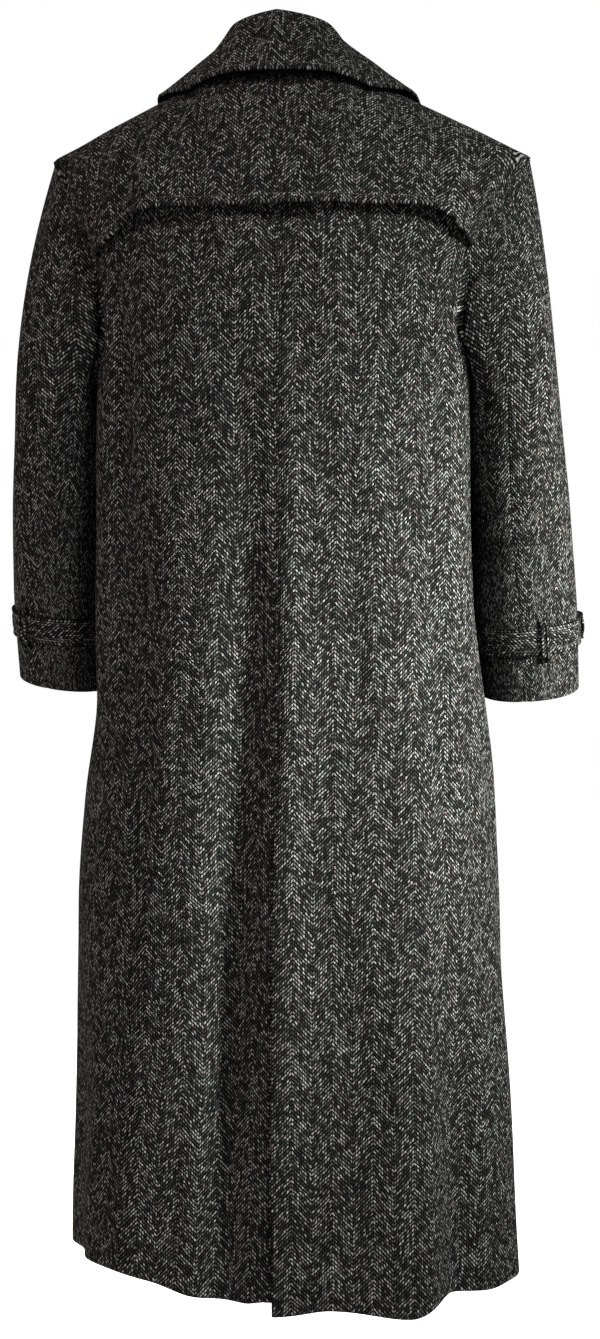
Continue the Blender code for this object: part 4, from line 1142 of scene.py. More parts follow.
def add_back(side):
    """One half of the back, with the vent's underlap on the left half."""
    rises = rise_rows(side, -1, side * BACK_MIDDLE)
    parts = graded(WIDEST_QUARTER)
    edge = place_round(np.abs(armhole_bearing(side, -1, rises)))
    places = side * edge[:, None] * parts[None, :]
    bearings = signed_bearing(places)
    rise_grid = rises[:, None]
    cells = None
    seam_column = 0
    if side < 0:
        under = graded(VENT_UNDERLAP)[::-1]
        half = HALF_WIDTH[1](body_point(np.zeros(rises.shape), rises)[..., 2])
        under_bearings = back_bearing_at(VENT_UNDERLAP * under[None, :] / half[:, None])
        bearings = np.concatenate([under_bearings, bearings[:, 1:]], axis=1)
        seam_column = len(under)
        cells = np.ones((len(rises) - 1, bearings.shape[1] - 1), bool)
        cells[rises[1:] > VENT_RISE, : seam_column - 1] = False
    points = back_point(side, bearings, rise_grid)
    out = body_normal(bearings, rise_grid)
    dip = border_dip(points, (False, True, False, True))
    seam = np.abs(run_lengths(points, 1) - run_lengths(points, 1)[:, seam_column : seam_column + 1])
    sewn = ease(VENT_RISE, VENT_RISE + VENT_EASE / 2, rise_grid)
    dip = np.maximum(dip, seam_dip(seam) * sewn)
    points = points - scaled(out, dip)
    underarm_row = int(np.argmin(np.abs(rises - 1)))
    uv = hung_map(points, seam_column, underarm_row)
    name = f"back_{WORDS[side]}"
    add_cloth(name, points, CLOTH, out, uv, cells)


def front_grid(side):
    """The bearings and rises of a front, from its lapped edge and roll line to the side and armhole."""
    rises = rise_rows(side, 1, side * FRONT_MIDDLE)
    edge = 180.0 - side * front_edge_bearing(side, rises)
    seam = 180.0 - side * armhole_bearing(side, 1, rises)
    parts = graded(WIDEST_QUARTER * FRONT_WIDER)
    places = mixed(place_round(edge)[:, None], place_round(seam)[:, None], parts[None, :])
    return side * (180.0 - signed_bearing(places)), rises[:, None]


def add_front(side):
    """One front, with the lapped edge pressed and stitched."""
    bearings, rises = front_grid(side)
    points = front_point(side, bearings, rises)
    out = body_normal(bearings, rises)
    dip = border_dip(points, (False, True, False, True))
    from_edge = run_lengths(points, 1)
    below_break = 1 - ease(BREAK_RISE - PRESS_FADE, BREAK_RISE, rises)
    pressed = groove(from_edge, EDGE_STITCH_IN) * below_break
    points = points + scaled(out, pressed - dip)
    underarm_row = int(np.argmin(np.abs(rises[:, 0] - 1)))
    uv = hung_map(points, 0, underarm_row)
    name = f"front_{WORDS[side]}"
    add_cloth(name, points, CLOTH, out, uv)


# Yoke, collar and lapels


def yoke_edge_height(across):
    """The height of the yoke's free edge: level over the back, curving down to the armholes."""
    right = ease(*YOKE_BENDS[1], across)
    left = ease(*YOKE_BENDS[-1], -across)
    bend = np.where(across >= 0, right, left) ** YOKE_BEND_POWER
    return mixed(YOKE_CENTRE_DROP, YOKE_END_DROP, bend)


def yoke_bearing(spread, rise):
    """The bearing of a yoke column: from -1 at the left armhole to 1 at the right one."""
    right = armhole_bearing(1, -1, rise)
    left = armhole_bearing(-1, -1, rise)
    place = np.where(spread >= 0, place_round(right), -place_round(left)) * spread
    return signed_bearing(place)


def yoke_grid():
    """The yoke's outer face, its directions out, and how far each point is above the free edge."""
    spread = graded(2 * QUARTER_LENGTH) * 2 - 1
    low = np.full(spread.shape, 1.0)
    high = np.full(spread.shape, 2.0)
    for _ in range(TRIES):
        middle = (low + high) / 2
        point = body_point(yoke_bearing(spread, middle), middle)
        below = point[..., 2] < yoke_edge_height(point[..., 0])
        low = np.where(below, middle, low)
        high = np.where(below, high, middle)
    climb = 1 - (1 - graded(YOKE_HEIGHT, inset=YOKE_CLOTH / 2)) ** YOKE_ROW_POWER
    climb = climb[:, None]
    rises = low[None, :] + (2.0 - low[None, :]) * climb
    columns = np.broadcast_to(spread[None, :], rises.shape)
    bearings = yoke_bearing(columns, rises)
    base = body_point(bearings, rises)
    out = body_normal(bearings, rises)
    right = columns >= 0
    edge = np.where(right, armhole_bearing(1, -1, rises), -armhole_bearing(-1, -1, rises))
    neck = np.where(right, neck_bearing(1), -neck_bearing(-1))
    sewn = ease(0.0, YOKE_SEWN_PART, (edge - np.abs(bearings)) / (edge - neck))
    uneven = 1 + sum(size * np.sin(rate * columns + start) for size, rate, start in YOKE_WAVES)
    off = YOKE_STAND_OFF * (1 - climb) ** YOKE_SWING_POWER * sewn * uneven
    clear = SEAM_GAP + YOKE_CLEAR * ease(0.0, YOKE_CLEAR_PART, 1 - climb)
    folds = crease_depth(YOKE_CREASES, base[..., 0], base[..., 2])
    folds = np.maximum(folds, -YOKE_FOLD_PART * off) * ease(0.0, YOKE_FOLD_FADE, 1 - climb)
    points = base + scaled(out, clear + off + YOKE_CLOTH + folds)
    return points, out, run_lengths(points, 0)


def add_yoke():
    """The storm yoke, with a rolled and stitched lower edge that stands off the back."""
    points, out, above = yoke_grid()
    rolled = YOKE_HEM_ROLL * (1 - ease(*YOKE_ROLL_ENDS, above))
    dip = border_dip(points, (False, True, True, True))
    points = points + scaled(out, rolled + groove(above, YOKE_STITCH_IN) - dip)
    middle = points.shape[1] // 2
    uv = hung_map(points, middle, 0, YOKE_CENTRE_DROP)
    add_cloth("yoke", points, YOKE_CLOTH + rolled, out, uv)


def neck_path(side, along):
    """The collar's seam line: the back neckline from the centre back to 1, then the roll line down to 2."""
    around = np.radians(90.0 * np.minimum(along, 1.0))
    across = NECK_CENTRE + side * NECK_HALF * np.sin(around)
    back = body_point(back_bearing_at(across / SHOULDER_HALF), 2.0)
    rise = 2.0 - np.maximum(along - 1, 0.0) * (1 - GORGE_CLIMB)
    front = front_point(side, front_edge_bearing(side, rise), rise)
    return np.where((along <= 1)[..., None], back, front)


def collar_sections(side, along, steps):
    """Sections of the collar: up the stand, over the roll and down the fall to the edge."""
    line = {name: profile(along) for name, profile in COLLAR_LINE.items()}
    seam = neck_path(side, along)
    centre = np.stack([np.full(along.shape, NECK_CENTRE), np.zeros(along.shape), seam[..., 2]], axis=-1)
    out = unit(seam - centre)
    up = np.broadcast_to(np.array([0.0, 0.0, 1.0]), seam.shape)
    foot = seam + up * (YOKE_CLOTH + COLLAR_CLEAR)
    roll = foot + scaled(up, line["stand"]) - scaled(out, line["lean"])
    tucked = 1 - ease(*COLLAR_TUCK_ENDS, along)
    foot = foot - scaled(up, COLLAR_TUCK[1] * tucked) - scaled(out, COLLAR_TUCK[0] * tucked)
    bearing = side * line["edge_bearing"] + COLLAR_SHIFT
    bearing = np.where(along > 1, side * 180.0 - bearing, bearing)
    edge = body_point(bearing, line["edge_rise"])
    edge = edge + scaled(body_normal(bearing, line["edge_rise"]), line["lift"])
    spring = (edge - roll) * np.array([1.0, 1.0, 0.0])
    pull = unit(spring) * COLLAR_ROLL
    rising = scaled(up, line["stand"] * STAND_PULL)
    part = steps[None, :, None]
    stand = hermite(foot[:, None], rising[:, None], roll[:, None], pull[:, None], np.minimum(part * 2, 1.0))
    drop = edge - roll
    fall = hermite(roll[:, None], pull[:, None], edge[:, None], drop[:, None], np.maximum(part * 2 - 1, 0.0))
    return np.where(part <= 0.5, stand, fall)


def collar_grid():
    """The collar's visible face and the directions out of it, from its left end round to its right."""
    half = np.concatenate([[0.0], 2.0 * graded(COLLAR_HALF_LENGTH)[len(BORDER_ROWS) :]])
    steps = graded(COLLAR_SECTION, inset=COLLAR_CLOTH / 2, cell=COLLAR_CELL)
    left = collar_sections(-1, half[:0:-1], steps)
    right = collar_sections(1, half, steps)
    under = np.concatenate([left, right])
    normals = face_normals(under)
    return under - normals * COLLAR_CLOTH, -normals


def add_collar():
    """The collar in one piece, with a stitched edge."""
    points, out = collar_grid()
    down = run_lengths(points, 1)
    from_edge = down[:, -1:] - down
    on_fall = ease(0.0, COLLAR_FALL_EASE, down - COLLAR_FALL_START)
    points = points + scaled(out, groove(from_edge, EDGE_STITCH_IN) * on_fall)
    across_scale, down_scale = COLLAR_RIPPLE_SCALES
    wave = ripple(run_lengths(points, 0) * across_scale, down * down_scale, RIPPLE_SEED + 1)
    points = points + scaled(out, wave * on_fall * COLLAR_RIPPLE_PART)
    points = np.swapaxes(points, 0, 1)
    out = np.swapaxes(out, 0, 1)
    uv = cloth_map(points, points.shape[1] // 2, 0)
    add_cloth("collar", points, COLLAR_CLOTH, out, uv)


def lapel_grid(side):
    """A lapel's outer face, from the roll line to its edge and from the break up to the gorge."""
    gorge = 1 + GORGE_CLIMB - GORGE_GAP
    down = graded(LAPEL_LENGTH, inset=LAPEL_CLOTH / 2, cell=LAPEL_CELL)
    parts = graded(LAPEL_WIDTH, inset=LAPEL_CLOTH / 2, cell=LAPEL_CELL)
    roll_rises = mixed(BREAK_RISE + (gorge - BREAK_RISE) * LAPEL_START[side], gorge, down)
    starts = front_point(side, front_edge_bearing(side, roll_rises), roll_rises)
    starts = np.stack([side * starts[:, 0], starts[:, 2]], axis=-1)
    last = starts[-1]
    tip = np.array(LAPEL_TIP)
    notch = np.array(LAPEL_NOTCH)
    begin = starts[0] + np.array(LAPEL_BEGIN)
    row = down[:, None, None]
    part = parts[None, :, None]
    end = begin + (tip - begin) * row + np.array(LAPEL_SWELL) * np.sin(np.pi * row)
    place = starts[:, None] + (end - starts[:, None]) * part
    to_notch = last + (notch - last) * part / LAPEL_NOTCH_PART
    to_tip = notch + (tip - notch) * (part - LAPEL_NOTCH_PART) / (1 - LAPEL_NOTCH_PART)
    corner = np.where(part < LAPEL_NOTCH_PART, to_notch, to_tip)
    straight = last + (tip - last) * part
    place = place + (corner - straight) * row**LAPEL_NOTCH_POWER
    bearing, rise = front_place(place[..., 0], place[..., 1])
    rolled = np.sin(np.pi * np.minimum(parts / LAPEL_ROLL_PART, 1.0))[None, :] * down[:, None]
    lift = LAPEL_LIFT + LAPEL_ROLL_LIFT * rolled
    points = front_point(side, side * bearing, rise, lift + LAPEL_CLOTH)
    return points, body_normal(side * bearing, rise)


def add_lapel(side):
    """A lapel, stitched along its outer edge."""
    points, out = lapel_grid(side)
    across = run_lengths(points, 1)
    points = points + scaled(out, groove(across[:, -1:] - across, EDGE_STITCH_IN))
    uv = cloth_map(points, 0, 0)
    name = f"lapel_{WORDS[side]}"
    add_cloth(name, points, LAPEL_CLOTH, out, uv)


# Sleeves, straps, loops and buttons as pieces


def add_sleeve(side, kind):
    """One panel of a sleeve, from the armhole to the cuff between its two seams."""
    sleeve = SLEEVES[side]
    back = climb_turn(sleeve.back_seam)
    front = climb_turn(sleeve.front_seam)
    start, end = (-front, back) if kind == "top" else (back, 360.0 - front)
    turns = mixed(start, end, graded(math.radians(end - start) * SLEEVE_RADIUS, SLEEVE_INSET, SLEEVE_CELL))
    falls = mixed(SLEEVE_START, 2.0, graded(SLEEVE_LENGTH, SLEEVE_INSET))
    under = np.sin(np.radians(turns) / 2) ** 2
    tuck = SLEEVE_TUCK * (1 - ease(0.0, SLEEVE_TUCK_REACH, falls))
    fall_grid = falls[:, None] - tuck[:, None] * under[None, :]
    points = sleeve_point(side, turns, fall_grid)
    out = sleeve_normal(side, turns, fall_grid)
    dip = border_dip(points, (False, False, True, True))
    points = points - scaled(out, dip)
    seam_column = len(turns) - 1 if kind == "top" else 0
    form = sleeve_form(side, turns, fall_grid)
    uv = sleeve_map(form, seam_column, int(np.argmin(np.abs(falls - 1))))
    word = WORDS[side]
    name = f"{kind}_sleeve_{word}"
    add_cloth(name, points, CLOTH, out, uv)


def strap_grid(side):
    """The outer face of a cuff strap, once round the sleeve and a little over its own start, to a point."""
    sleeve = SLEEVES[side]
    falls = strap_falls(side)
    rows = graded(STRAP_WIDTH, STRAP_CLOTH / 2, STRAP_CELLS[0])
    around = graded(STRAP_LENGTH, STRAP_CLOTH / 2, STRAP_CELLS[1])
    fall_grid = mixed(falls[0], falls[-1], rows)[:, None]
    point = STRAP_POINT_TURN * (1 - np.abs(2 * rows - 1))
    ends = sleeve.strap_end + point
    turn_grid = sleeve.strap_start + (ends - sleeve.strap_start)[:, None] * around[None, :]
    lift = strap_lift(side, turn_grid) + STRAP_CLOTH
    points = sleeve_point(side, turn_grid, fall_grid, lift)
    return points, sleeve_normal(side, turn_grid, fall_grid)


def add_strap(side):
    """A cuff strap with a stitched border."""
    points, out = strap_grid(side)
    down = run_lengths(points, 0)
    pressed = groove(down, STRAP_STITCH_IN) + groove(down[-1:] - down, STRAP_STITCH_IN)
    points = points + scaled(out, pressed)
    uv = cloth_map(points, 0, 0)[..., ::-1]
    word = WORDS[side]
    name = f"cuff_strap_{word}"
    add_cloth(name, points, STRAP_CLOTH, out, uv)


def add_loop(side):
    """The narrow loop over a strap, bowed out over it and close to the sleeve above and below."""
    centre = SLEEVES[side].loop_turn
    half_turn = math.degrees(LOOP_WIDTH / 2 / RINGS[side][0].half_depth)
    parts = graded(LOOP_WIDTH, LOOP_CLOTH / 2, LOOP_CELLS[0]) * 2 - 1
    steps = graded(LOOP_LENGTH, LOOP_CLOTH / 2, LOOP_CELLS[1]) * 2 - 1
    step_grid, turns = np.meshgrid(steps, centre + half_turn * parts, indexing="ij")
    falls = fall_at(side, STRAP_CENTRE - step_grid * LOOP_LENGTH / 2)
    bow = 1 - ease(*LOOP_BOW, np.abs(step_grid))
    lift = SEAM_GAP * 2 + (STRAP_CLOTH + LOOP_CLEAR) * bow + LOOP_CLOTH
    points = sleeve_point(side, turns, falls, lift)
    out = sleeve_normal(side, turns, falls)
    uv = cloth_map(points, 0, 0)
    word = WORDS[side]
    name = f"strap_loop_{word}"
    add_cloth(name, points, LOOP_CLOTH, out, uv)


def button_places():
    """The name, centre, direction out and sizes of every button."""
    places = []
    for count, rise in enumerate(FRONT_BUTTON_RISES, start=1):
        centre = front_point(1, np.array(180.0), np.array(rise), SEAM_GAP)
        out = body_normal(np.array(180.0), np.array(rise))
        places.append((f"front_button_{count}", centre, out, FRONT_BUTTON_RADIUS, FRONT_BUTTON_DEPTH))
    for side in SIDES:
        turn = np.array(360.0 - climb_turn(STRAP_BUTTON_CLIMBS[side]))
        fall = np.array(strap_falls(side)[1])
        lift = strap_lift(side, turn) + STRAP_CLOTH + SEAM_GAP
        centre = sleeve_point(side, turn, fall, lift)
        out = sleeve_normal(side, turn, fall)
        places.append((f"strap_button_{WORDS[side]}", centre, out, STRAP_BUTTON_RADIUS, STRAP_BUTTON_DEPTH))
    return places


def button_frame(out):
    """Two directions in a button's face: level and up."""
    level = unit(np.cross(np.array([0.0, 0.0, 1.0]), out))
    return level, np.cross(out, level)


def hole_spots(radius):
    """The four holes of a button, across and up from its middle."""
    out = BUTTON_HOLE_OUT * radius
    return [(across * out, up * out) for across in (-1, 1) for up in (-1, 1)]


def ring_quads(rings, sides, start=0):
    """The four-sided faces between rings of points that follow each other from a start."""
    number = start + np.arange(rings * sides).reshape(rings, sides)
    after = np.roll(number, -1, axis=1)
    return np.stack([number[:-1], after[:-1], after[1:], number[1:]], axis=-1).reshape(-1, 4).tolist()


def add_button(node, centre, out, radius, depth, material):
    """A turned horn button: a dished face with four holes, a rounded rim and a short shank."""
    level, up = button_frame(out)
    steps = np.linspace(0.0, 1.0, BUTTON_RINGS + 1)[1:-1]
    angles = np.linspace(0.0, 2 * np.pi, BUTTON_SIDES, endpoint=False)
    ring_radius = BUTTON_LINE["radius_part"](steps) * radius
    ring_depth = BUTTON_LINE["depth_part"](steps) * depth
    across = ring_radius[:, None] * np.cos(angles)
    rise = ring_radius[:, None] * np.sin(angles)
    height = np.broadcast_to(ring_depth[:, None], across.shape).copy()
    face = ease(0.0, BUTTON_FACE_EASE, BUTTON_FACE_END - steps)[:, None]
    hole_inner, hole_outer = (part * BUTTON_HOLE_SIZE for part in BUTTON_HOLE_EDGE)
    for hole_across, hole_up in hole_spots(radius):
        away = np.hypot(across - hole_across, rise - hole_up) / radius
        pit = 1 - ease(hole_inner, hole_outer, away)
        height -= BUTTON_HOLE_DEPTH * depth * pit * face
    rings = centre + scaled(level[None, None], across) + scaled(up[None, None], rise)
    rings = rings + scaled(out[None, None], height)
    middle = centre + out * BUTTON_PROFILE[0].depth_part * depth
    points = np.concatenate([rings.reshape(-1, 3), [middle, centre]])
    top = len(points) - 2
    faces = [quad[::-1] for quad in ring_quads(len(rings), BUTTON_SIDES)]
    faces += [[top, place, (place + 1) % BUTTON_SIDES] for place in range(BUTTON_SIDES)]
    lowest = top - BUTTON_SIDES
    faces += [[top + 1, lowest + (place + 1) % BUTTON_SIDES, lowest + place] for place in range(BUTTON_SIDES)]
    piece = add_mesh(f"{node}_horn", points.tolist(), faces, material)
    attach(piece, BODY)
    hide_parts(node)
    return piece


# Sewing, by Geometry Nodes along paths on the cloth


def set_inputs(tree, node, inputs):
    """Set each input of a node, or link it to a socket or to a node's first output."""
    for place, value in inputs.items():
        if isinstance(value, bpy.types.Node):
            value = value.outputs[0]
        if isinstance(value, bpy.types.NodeSocket):
            tree.links.new(value, node.inputs[place])
        else:
            node.inputs[place].default_value = value


def add_node(tree, kind, inputs=None, **settings):
    """Add a node with its settings, and set or link its inputs."""
    node = tree.nodes.new(kind)
    for name, value in settings.items():
        setattr(node, name, value)
    set_inputs(tree, node, inputs or {})
    return node


def stitch_tree():
    """A tree that lays one small stitch at even steps along each path, with the path's own direction out."""
    tree = bpy.data.node_groups.new("stitch_run", "GeometryNodeTree")
    tree.is_modifier = True
    sizes = ("Spacing", "Stitch length", "Thread radius", "Turn")
    sockets = {"Path": "Geometry", **dict.fromkeys(sizes, "Float"), "Thread": "Material"}
    for name, kind in sockets.items():
        tree.interface.new_socket(name, in_out="INPUT", socket_type=f"NodeSocket{kind}")
    tree.interface.new_socket("Stitches", in_out="OUTPUT", socket_type="NodeSocketGeometry")
    given = add_node(tree, "NodeGroupInput").outputs
    curve = add_node(tree, "GeometryNodeMeshToCurve", {"Mesh": given["Path"]})
    even = add_node(
        tree, "GeometryNodeResampleCurve", {"Curve": curve, "Length": given["Spacing"]}, mode="LENGTH"
    )
    tangent = add_node(tree, "GeometryNodeInputTangent")
    out = add_node(tree, "GeometryNodeInputNamedAttribute", {"Name": "out"}, data_type="FLOAT_VECTOR")
    lie = add_node(
        tree, "FunctionNodeAxesToRotation", {0: out, 1: tangent}, primary_axis="Z", secondary_axis="X"
    )
    about_out = {"Axis": (0.0, 0.0, 1.0), "Angle": given["Turn"]}
    quarter = add_node(tree, "FunctionNodeAxisAngleToRotation", about_out)
    turned = add_node(tree, "FunctionNodeRotateRotation", {0: lie, 1: quarter}, rotation_space="LOCAL")
    ball = add_node(tree, "GeometryNodeMeshUVSphere", {"Segments": 6, "Rings": 5, "Radius": 1.0})
    half = add_node(tree, "ShaderNodeMath", {0: given["Stitch length"], 1: 0.5}, operation="MULTIPLY")
    size = add_node(
        tree, "ShaderNodeCombineXYZ", {0: half, 1: given["Thread radius"], 2: given["Thread radius"]}
    )
    smooth = add_node(tree, "GeometryNodeSetShadeSmooth", {"Geometry": ball})
    stitch = add_node(tree, "GeometryNodeTransform", {"Geometry": smooth, "Scale": size})
    rows = add_node(
        tree, "GeometryNodeInstanceOnPoints", {"Points": even, "Instance": stitch, "Rotation": turned}
    )
    real = add_node(tree, "GeometryNodeRealizeInstances", {"Geometry": rows})
    painted = add_node(tree, "GeometryNodeSetMaterial", {"Geometry": real, "Material": given["Thread"]})
    add_node(tree, "NodeGroupOutput", {0: painted})
    return tree


def add_stitching(name, paths, spacing, length, radius, turn, tree, thread):
    """Stitches along paths, each of them points and their directions out, as one plain mesh."""
    points = np.concatenate([path for path, _ in paths])
    outs = np.concatenate([out for _, out in paths])
    edges = []
    start = 0
    for path, _ in paths:
        edges += [(start + step, start + step + 1) for step in range(len(path) - 1)]
        start += len(path)
    mesh = bpy.data.meshes.new(name)
    mesh.from_pydata(points.tolist(), edges, [])
    mesh.attributes.new("out", "FLOAT_VECTOR", "POINT").data.foreach_set("vector", outs.ravel())
    piece = add_object(name, mesh)
    modifier = piece.modifiers.new("stitches", "NODES")
    modifier.node_group = tree
    values = {
        "Spacing": spacing,
        "Stitch length": length,
        "Thread radius": radius,
        "Turn": turn,
        "Thread": thread,
    }
    for socket in tree.interface.items_tree:
        if socket.in_out == "INPUT" and socket.name in values:
            modifier[socket.identifier] = values[socket.name]
    depsgraph = bpy.context.evaluated_depsgraph_get()
    made = bpy.data.meshes.new_from_object(piece.evaluated_get(depsgraph))
    piece.modifiers.clear()
    piece.data = made
    if not made.polygons:
        raise RuntimeError(f"{name} has no stitches")
    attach(piece, BODY)
    return piece


def path_between(points, out, distances, wanted, axis, kept):
    """The kept part of the line on a grid at a wanted distance along an axis, raised onto the groove."""
    grid = np.moveaxis(points, axis, 0)
    away = np.moveaxis(distances, axis, 0)
    normals = np.moveaxis(out, axis, 0)
    if away[0].mean() > away[-1].mean():
        grid = grid[::-1]
        away = away[::-1]
        normals = normals[::-1]
    places = np.clip(np.sum(away < wanted, axis=0), 1, len(away) - 1)
    column = np.arange(away.shape[1])
    before = away[places - 1, column]
    after = away[places, column]
    part = ((wanted - before) / np.maximum(after - before, 1e-9))[:, None]
    line = mixed(grid[places - 1, column], grid[places, column], part)
    facing = unit(mixed(normals[places - 1, column], normals[places, column], part))
    return (line - facing * STITCH_GROOVE)[kept], facing[kept]


def edge_path(points, out, kept):
    """The kept part of the line of stitches beside a grid's last column."""
    across = run_lengths(points, 1)
    return path_between(points, out, across[:, -1:] - across, EDGE_STITCH_IN, 1, kept)


def add_sewing(stitch, tree, thread):
    """Topstitching on the yoke, collar, lapels, right front and straps, and worked buttonholes."""
    points, out, above = yoke_grid()
    raised = points + scaled(out, YOKE_STITCH_LIFT)
    lines = {"yoke": [path_between(raised, out, above, YOKE_STITCH_IN, 0, slice(2, -2))]}
    lines["collar"] = [edge_path(*collar_grid(), slice(2, -2))]
    lines["lapel"] = [edge_path(*lapel_grid(side), slice(2, -3)) for side in SIDES]
    bearings, rises = front_grid(1)
    points = front_point(1, bearings, rises)
    out = body_normal(bearings, rises)
    below = rises[:, 0] < BREAK_RISE - PRESS_FADE
    lines["front"] = [path_between(points, out, run_lengths(points, 1), EDGE_STITCH_IN, 1, below)]
    lines["strap"] = []
    for side in SIDES:
        points, out = strap_grid(side)
        down = run_lengths(points, 0)
        for distance in (down, down[-1:] - down):
            lines["strap"].append(path_between(points, out, distance, STRAP_STITCH_IN, 0, slice(2, -1)))
    for name, paths in lines.items():
        add_stitching(f"{name}_stitching", paths, *stitch, 0.0, tree, thread)
    add_buttonholes(tree, thread)


def add_buttonholes(tree, thread):
    """A worked buttonhole beside each front button, level across the lapped edge."""
    inner, outer = BUTTONHOLE_ENDS
    out_and_back = np.linspace(inner, outer, BUTTONHOLE_POINTS), np.linspace(outer, inner, BUTTONHOLE_POINTS)
    across = np.concatenate(out_and_back)
    step = np.repeat([BUTTONHOLE_HALF_GAP, -BUTTONHOLE_HALF_GAP], BUTTONHOLE_POINTS)
    paths = []
    for rise in FRONT_BUTTON_RISES:
        height = body_point(np.array(180.0), np.array(rise))[2]
        bearing = 180.0 - back_bearing_at(across / half_width(across >= 0, height))
        rises = rise + step / SKIRT_LENGTH
        bearing = np.append(bearing, bearing[0])
        rises = np.append(rises, rises[0])
        paths.append((front_point(1, bearing, rises, BUTTONHOLE_LIFT), body_normal(bearing, rises)))
    add_stitching("buttonhole_stitching", paths, *BUTTONHOLE_STITCH, math.pi / 2, tree, thread)


def add_button_thread(thread):
    """Two bars of thread through the holes of each button, as one mesh."""
    points = []
    faces = []
    sides = 8
    steps = 9
    thick_part = 0.045
    lift_part = 1.2
    drop_part = 0.22
    flat_part = 1.5
    for _, centre, out, radius, depth in button_places():
        level, up = button_frame(out)
        face = depth * BUTTON_PROFILE[0].depth_part
        reach = BUTTON_HOLE_OUT * radius
        thick = thick_part * radius
        for height in (-1, 1):
            start = len(points)
            for step in np.linspace(-1.0, 1.0, steps):
                arch = face + thick * lift_part - depth * drop_part * abs(step) ** 4
                middle = centre + level * reach * step + up * reach * height + out * arch
                for angle in np.linspace(0.0, 2 * np.pi, sides, endpoint=False):
                    beside = up * np.cos(angle) * flat_part + out * np.sin(angle)
                    points.append((middle + beside * thick).tolist())
            faces += ring_quads(steps, sides, start)
            faces.append(list(range(start, start + sides))[::-1])
            faces.append(list(range(len(points) - sides, len(points))))
    piece = add_mesh("button_thread", points, faces, thread)
    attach(piece, BODY)


# Materials


def linear(code):
    """An sRGB hex colour as linear red, green and blue."""
    values = [int(code[place : place + 2], 16) / 255 for place in (1, 3, 5)]
    return tuple(value / 12.92 if value <= 0.04045 else ((value + 0.055) / 1.055) ** 2.4 for value in values)


def new_material(name):
    """A material with only its shader and output, and the node tree and shader to build on."""
    material = bpy.data.materials.new(name)
    material.use_nodes = True
    tree = material.node_tree
    return material, tree, tree.nodes["Principled BSDF"]


